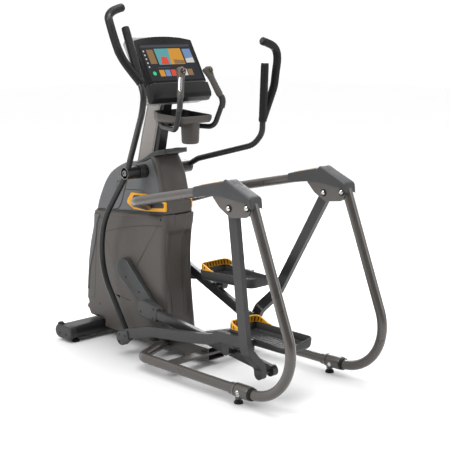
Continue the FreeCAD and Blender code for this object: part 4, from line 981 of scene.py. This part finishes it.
def make_console():
    finish(extrusion("console_bezel", bezel_line(), -0.034, 0.0065, 0.006, 0.005, tilted), "console_black",
           instead="console_housing")
    shelf_profile = rounded(mm((232, 1483.5, 4), (214, 1480, 6), (186, 1430, 10), (183, 1408, 12),
        (204, 1383, 12), (232, 1376, 10), (262, 1462, 10)), 4)
    rings = layers_across(shelf_profile, mm((195.7, 0), (200.7, 1), (204.2, 4), (205.5, 9)))
    finish(loft("console_shelf", rings), "console_black", look=SHELF_LOOK)
    pad_line = rounded(mm((-60, -40, 16), (60, -40, 16), (68, -16, 16), (-68, -16, 16)), 6)
    finish(extrusion("console_pad", pad_line, -0.01, -0.003, 0.0, 0.003, tilted), "soft_rubber")
    ledge = rounded(mm((-182, -12, 4), (182, -12, 4), (182, -5, 3), (-182, -5, 3)), 3)
    finish(extrusion("console_ledge", ledge, -0.006, 0.012, 0.0, 0.002, tilted), "dark_plastic")
    glass_line = rounded(mm((-182, 4, 6), (182, 4, 6), (184, 229, 6), (-184, 229, 6)), 4)
    finish(extrusion("screen_pane", glass_line, 0.004, 0.0072, 0.0, 0.0006, tilted), "screen_glass",
           instead="screen")
    make_screen()
    back_line = rounded(mm((204.5, 1383.5, 4), (275, 1364, 12), (301, 1398, 10), (363, 1524, 30),
        (457, 1679, 16), (430, 1717.5, 14), (408, 1714, 6), (268, 1482, 4)), 5)
    rings = layers_across(back_line, mm((169, 0), (179, 1), (189, 5), (194.5, 12), (196, 20)))
    finish(loft("console_rear_shell", rings), "console_grey", instead="console_back")

    def rearward(u, v, w):
        return (u, 0.363 + (v - 0.06) * 0.535 + w, 1.524 + (v - 0.06) * 0.845)

    for index in range(5):
        low = 0.15 + index * 0.012
        slot_line = rounded([(u, v, 0.002) for u, v in box(-0.06, 0.06, low, low + 0.005)], 2)
        finish(extrusion("console_vent_%d" % index, slot_line, -0.004, 0.0022, plane=rearward),
            "dark_plastic")


# ---- tray, bottle holder and fixed grips

def darken_inside(piece, first_ring, size, level):
    """Second, darker material on the inner faces of a moulded tub."""
    piece.data.materials.append(SHELF_LOOK)
    for polygon in piece.data.polygons:
        centre = polygon.center
        if polygon.index // size >= first_ring and centre.z < level and polygon.normal.z > -0.5:
            polygon.material_index = 1


def cut_floor(mesh, hole, levels):
    """Fills the open top and bottom rings of a tub's floor up to a round hole and lines the hole."""
    work = bmesh.new()
    work.from_mesh(mesh)
    rings = [[work.verts.new((u, v, level)) for u, v in hole] for level in levels]
    for ring, level in zip(rings, levels):
        outer = [edge for edge in work.edges if edge.is_boundary
                 and all(abs(vertex.co.z - level) < 1e-5 for vertex in edge.verts)]
        inner = [work.edges.new(pair) for pair in zip(ring, ring[1:] + ring[:1])]
        bmesh.ops.triangle_fill(work, use_beauty=True, edges=outer + inner)
    top, low = rings
    for a, b in zip(range(len(hole)), [*range(1, len(hole)), 0]):
        work.faces.new((top[a], top[b], low[b], low[a]))
    bmesh.ops.recalc_face_normals(work, faces=work.faces)
    work.to_mesh(mesh)
    work.free()
    mesh.polygons.foreach_set("use_smooth", [True] * len(mesh.polygons))
    mesh.set_sharp_from_angle(angle=SMOOTH_ANGLE)


def make_tray():
    """Moulded tray with a wavy rim that rises to the rear corners, and the cup under it."""
    line = rounded(mm((-117.5, 75.5, 30), (117.5, 75.5, 30), (117.5, 262, 30), (96, 322, 20),
        (36, 332.5, 8), (-36, 332.5, 8), (-96, 322, 20), (-117.5, 262, 30)), 6)

    def rim(u, v):
        return 1.3215 - 0.006 * (1 - ease(v, 0.085, 0.16)) + 0.013 * ease(v, 0.22, 0.32)

    rings = tub_rings(line, mm((1274.5, 30), (1277, 14), (1286, 5), (1298, 1)),
        mm((6, 0), (2, 0.8), (0, 3), (0.6, 5.5), (3, 6.8)), rim,
        mm((1298, 10), (1283, 15), (1280.5, 24)))
    piece = loft("tray_tub", rings, False, False)
    cut_floor(piece.data, circle((0, 0.135), 0.0465, 48), (1.2805, 1.2745))
    finish(piece, "shell_taupe", instead="accessory_tray")
    darken_inside(piece, 8, len(line), 1.33)
    profile = mm((1279.5, 48.8), (1275, 49.6), (1240, 48.6), (1182, 46.2), (1173, 44.5), (1168, 40),
        (1166.3, 32), (1166.3, 0.2))
    inside = mm((1170.5, 0.2), (1170.5, 34), (1175, 42), (1184, 43.8), (1240, 45.8), (1279.5, 46.4))
    finish(turned("bottle_cup", profile + inside, (0, 0.135, 0), (0, 0, 1), 48), "shell_taupe",
           instead="bottle_holder")


GRIP_TOP = Vector((-0.091, 0.102, 1.555))
GRIP_BASE = Vector((-0.152, 0.044, 1.385))


def make_fixed_grips():
    lean = (GRIP_TOP - GRIP_BASE).normalized()
    start = GRIP_BASE + lean * 0.032
    length = (GRIP_TOP + lean * 0.008 - start).length
    shape = ((0.0, 0.0145), (0.02, 0.016), (0.06, 0.0176), (0.1, 0.0184), (0.35, 0.0178), (0.58, 0.0178),
             (0.74, 0.0205), (0.86, 0.0245), (0.95, 0.0258), (1.0, 0.0235))
    stations = smooth_line(shape, 3)
    line = [tuple(start + lean * (length * share)) for share, radius in stations]
    both(swept("fixed_grip", line, [radius for share, radius in stations], 24, 0.15, 0.25), "grip_rubber",
         "grip_sleeves", MATERIALS["shell_taupe"])
    outward = Vector((-0.75, -0.66, 0)).normalized()
    outward = (outward - lean * outward.dot(lean)).normalized()
    across = lean.cross(outward)
    strip = []
    for step in range(15):
        middle = start + lean * (length * (0.2 + 0.55 * step / 14))
        half = 0.55 * math.sin(math.pi * (step + 0.6) / 15.2) ** 0.35
        row = arc((0, 0), 0.0188, -half, 2 * half, 6)
        strip.append([tuple(middle + outward * u + across * v) for u, v in row])
    for plate in both(sheet("sensor_plate", strip), "chrome_trim", "sensor_strips"):
        wall(plate, 0.0014)
    bend = smooth_line(mm((-150, 52, 1352), (-151.5, 45.5, 1378), (-150, 46.5, 1400), (-144, 51.5, 1416.5)),
        4)
    both(swept("grip_cuff", bend, [0.0152] * len(bend), 20, 0.2, 0.2), "dark_plastic")


make_console()
make_tray()
make_fixed_grips()

# ---- frame brackets, feet and trims

BRACKET_X = -0.335


def crowned(name, top, bottom, half, edge):
    """Moulding across X between a top and a bottom line of equal length; its top edges are rounded down."""
    turns = [math.pi / 10 * step for step in range(6)]
    sides = [(-half + edge * (1 - math.cos(turn)), edge * (1 - math.sin(turn))) for turn in turns]
    sides += [(-x, drop) for x, drop in sides[::-1]]
    return loft(name, [[(BRACKET_X + x, y, z - drop) for y, z in top]
        + [(BRACKET_X + x, y, z) for y, z in bottom[::-1]] for x, drop in sides])


def resample(line, count):
    """Points at equal distances along a (y, z) line."""
    return [tuple(along(line, index / (count - 1))[0]) for index in range(count)]


def make_brackets():
    top = smooth_line(mm((-289, 1024.5), (-380, 1046.5), (-450, 1062.5), (-490, 1070.5), (-510, 1067.2),
        (-580, 1037.2), (-652, 1005.5)), 5)
    bottom = smooth_line(mm((-289, 977), (-380, 989), (-470, 1000.5), (-540, 995.5), (-600, 988.8),
        (-658, 984.5)), 6)
    cover = crowned("bracket_cover", resample(top, 30), resample(bottom, 30), 0.0378, 0.011)
    both(cover, "dark_plastic", "bracket_covers", COVER_LOOK)
    top = smooth_line(mm((-497.5, 1074.8), (-510, 1082.4), (-560, 1061.2), (-610, 1040), (-645, 1025),
        (-666, 1015.5), (-675.5, 1006), (-680, 964)), 5)
    bottom = mm((-497.5, 1062), (-560, 1039), (-645, 999), (-652, 985), (-657, 970), (-664, 962.5),
        (-672, 961.5), (-679.5, 961.5))
    end = crowned("bracket_end", resample(top, 34), resample(bottom, 34), 0.038, 0.01)
    both(end, "dark_plastic", "bracket_end_caps", COVER_LOOK)
    for index, (y, z) in enumerate((SWING_TOP, REAR_BOLT)):
        for side, sign in SIDE_SIGN.items():
            for face, plate_x, head_x, way in (("out", 0.3655, 0.372, sign), ("in", 0.3045, 0.298, -sign)):
                washer = turned("bracket_washer_%d_%s_%s" % (index, side, face),
                    mm((-1, 0.2), (-1, 18.5), (1.6, 18.5), (2.4, 17.2), (2.4, 0.2)), (sign * plate_x, y, z),
                    (way, 0, 0), 36)
                finish(washer, "soft_rubber")
                dome = turned("bracket_dome_%d_%s_%s" % (index, side, face),
                    mm((-4, 0.2), (-4, 12.2), (0, 12.4), (2, 11.6), (4, 9), (5, 6), (3.4, 5.2), (3.4, 0.2)),
                    (sign * head_x, y, z), (way, 0, 0), 32)
                finish(dome, "bright_steel")

    def inlay(name, strip, count, steps, depth):
        line = resample(strip, count)
        return loft(name, [[(BRACKET_X + x, y, z + rise) for y, z in line]
            + [(BRACKET_X + x, y, z - depth) for y, z in line[::-1]] for x, rise in steps])

    strip = inlay("bracket_inlay", mm((-313.5, 1031), (-400, 1051.2), (-481.5, 1070)), 14,
        mm((-17, -0.5), (-16.5, 1.5), (-15, 2), (15, 2), (16.5, 1.5), (17, -0.5)), 0.006)
    both(strip, "accent_yellow", "accent_trims")
    core = inlay("bracket_inlay_core", mm((-322, 1032.9), (-400, 1051.2), (-474.5, 1068.4)), 12,
        mm((-10.5, 1.2), (-10, 2.6), (10, 2.6), (10.5, 1.2)), 0.002)
    both(core, "dark_plastic")


def make_base_trims():
    rim = mm((1.2, 24.2), (1.6, 25), (6, 25), (9.2, 24.2), (10.8, 21.5), (10.8, 18.5), (9.2, 17),
        (9.2, 11.5), (10.8, 10), (10.8, 4.5))
    tyre = [(-x, radius) for x, radius in rim[::-1]] + rim
    for side, sign in SIDE_SIGN.items():
        screw("cap_screw_front", side, 0.3399, (0.88, 0.046), 0.0072)
        screw("cap_screw_rear", side, 0.3399, (0.822, 0.046), 0.0072)
        wheel = turned("roller_" + side, tyre, (sign * 0.32, 0.892, 0.082))
        finish(wheel, "soft_rubber", "transport_wheel_" + side, "transport_wheel_" + side)
    for index, (x, y, top) in enumerate(mm((-285, 806, 44), (285, 806, 44), (-335, -566, 37.5),
            (335, -566, 37.5))):
        pad = mm((0, 20.5), (1, 22.8), (6, 23), (8.5, 22.2), (10, 20), (15, 18.5), (16, 15), (16, 10),
            (16.1, 0.2))
        foot = turned("foot_pad_%d" % index, pad, (x, y, 0.0), (0, 0, 1), 40)
        finish(foot, "soft_rubber", instead="levelling_feet")
        stem = [(0.0155, 0.0002), (0.0155, 0.011)]
        for turn in range(7):
            base = 0.0165 + turn * 0.0026
            if base + 0.002 < top:
                stem += [(base, 0.006), (base + 0.0013, 0.0052)]
        stem += [(top, 0.0056), (top, 0.0002)]
        finish(turned("foot_stem_%d" % index, stem, (x, y, 0.0), (0, 0, 1), 24), "bright_steel",
               look=MATERIALS["black_paint"])
        nut = rounded([(0.0098 * math.cos(math.pi * step / 3), 0.0098 * math.sin(math.pi * step / 3),
            0.0015) for step in range(6)], 2)
        rings = [[(x + u, y + v, level) for u, v in inset(nut, tuck)]
                 for level, tuck in mm((19.5, 1), (20.5, 0), (25, 0), (26, 1))]
        finish(loft("foot_nut_%d" % index, rings), "bright_steel", look=MATERIALS["black_paint"])


def make_rail_collars():
    """Sleeve at the rear end of each lower rail, with a dark seam ring at its front edge."""
    for side, sign in SIDE_SIGN.items():
        sleeve = mm((0, 29), (1, 31.8), (4, 34.2), (14, 35), (14.5, 33.5), (18.5, 33.5), (19, 35),
            (100, 35), (104, 34.2), (105, 31.8), (105, 30))
        ring = turned("rail_sleeve_" + side, sleeve, (sign * 0.335, -0.545, 0.0665), (0, -1, 0), 44)
        finish(ring, "frame_paint")
        seam = turned("rail_sleeve_seam_" + side, mm((14.6, 30), (14.6, 34.2), (18.4, 34.2), (18.4, 30)),
            (sign * 0.335, -0.545, 0.0665), (0, -1, 0), 44)
        finish(seam, "soft_rubber")
        dome = mm((0, 11.8), (1.2, 11.8), (2, 10.8), (2, 9.2), (4, 8.4), (6, 6.2), (6.8, 3.6), (5, 3),
            (5, 0.2))
        bolt = turned("rail_sleeve_bolt_" + side, dome, (sign * 0.369, -0.59, 0.0665), (sign, 0, 0), 28)
        finish(bolt, "bright_steel")


def make_mast_plates():
    line = rounded(mm((430, 966, 4), (552, 966, 4), (494, 1190), (430, 1396, 20), (423, 1424, 8),
        (322, 1402, 6)), 5)
    both(extrusion("mast_plate", line, -0.034, -0.0285, 0.0025, 0.0), "shell_taupe", "mast_side_plates",
         PLATE_LOOK)
    count = len(line)
    verts = [(-0.03415, u, v) for tuck in (0.008, 0.01) for u, v in inset(line, tuck)]
    faces = [(i, (i + 1) % count, (i + 1) % count + count, i + count) for i in range(count)]
    for piece in both(new_piece("mast_plate_line", verts, faces), "shell_taupe", look=COVER_LOOK):
        wall(piece, 0.0004)


def make_thumb_keys():
    """Keypad head at the top of each fixed grip; the key moves along the grip's own line."""
    way = (GRIP_TOP - GRIP_BASE).normalized()
    head = turned("grip_head", mm((-10, 18), (2, 23.5), (6.8, 22.5), (9, 19.5), (9.4, 16), (8.2, 14.5),
        (6, 14), (6, 0.2)), GRIP_TOP, way, 36)
    both(head, "grip_rubber", look=MATERIALS["shell_taupe"])
    for side, sign in SIDE_SIGN.items():
        axis = Vector((-way.x * sign, way.y, way.z))
        top = Vector((-GRIP_TOP.x * sign, GRIP_TOP.y, GRIP_TOP.z))
        facing = Vector((0.1 * sign, -1.0, 0.3))
        facing = (facing - axis * facing.dot(axis)).normalized()
        spot = top - axis * 0.012 + facing * 0.0215
        pad = turned("keypad_" + side, mm((0, 15), (2, 15), (3.2, 13.5), (3.6, 10), (3.8, 0.2)), spot,
            facing, 28)
        finish(pad, "soft_rubber")
        aside = facing.cross(axis)
        for index, (u, v) in enumerate(mm((0, 7.2), (-6.5, -1.5), (6.5, -1.5), (0, -9.5))):
            dot = turned("keypad_mark_%d_%s" % (index, side), mm((0, 2), (0.8, 2), (1, 1.6), (1, 0.2)),
                spot + facing * 0.0034 + aside * u + axis * v, facing, 12)
            finish(dot, "accent_yellow" if index % 3 else "chrome_trim")
        key = turned("thumb_pad_" + side, mm((5.5, 0.2), (5.5, 6.6), (10.8, 6.6), (11.8, 6), (12.2, 4.5),
            (12.1, 0.2)), top, axis, 32)
        finish(key, "soft_rubber", "thumb_key_" + side, "thumb_key_" + side)
        one = axis.orthogonal().normalized()
        two = axis.cross(one)
        for index in range(3):
            turn = math.pi / 2 + 2 * math.pi * index / 3
            at = top + axis * 0.012 + (one * math.cos(turn) + two * math.sin(turn)) * 0.0032
            mark = turned("thumb_mark_%d_%s" % (index, side), mm((-1, 1.1), (0.3, 1.1), (0.5, 0.8),
                (0.5, 0.2)), at, axis, 12)
            finish(mark, "accent_yellow", "thumb_key_" + side)


make_brackets()
make_base_trims()
make_rail_collars()
make_mast_plates()
make_thumb_keys()
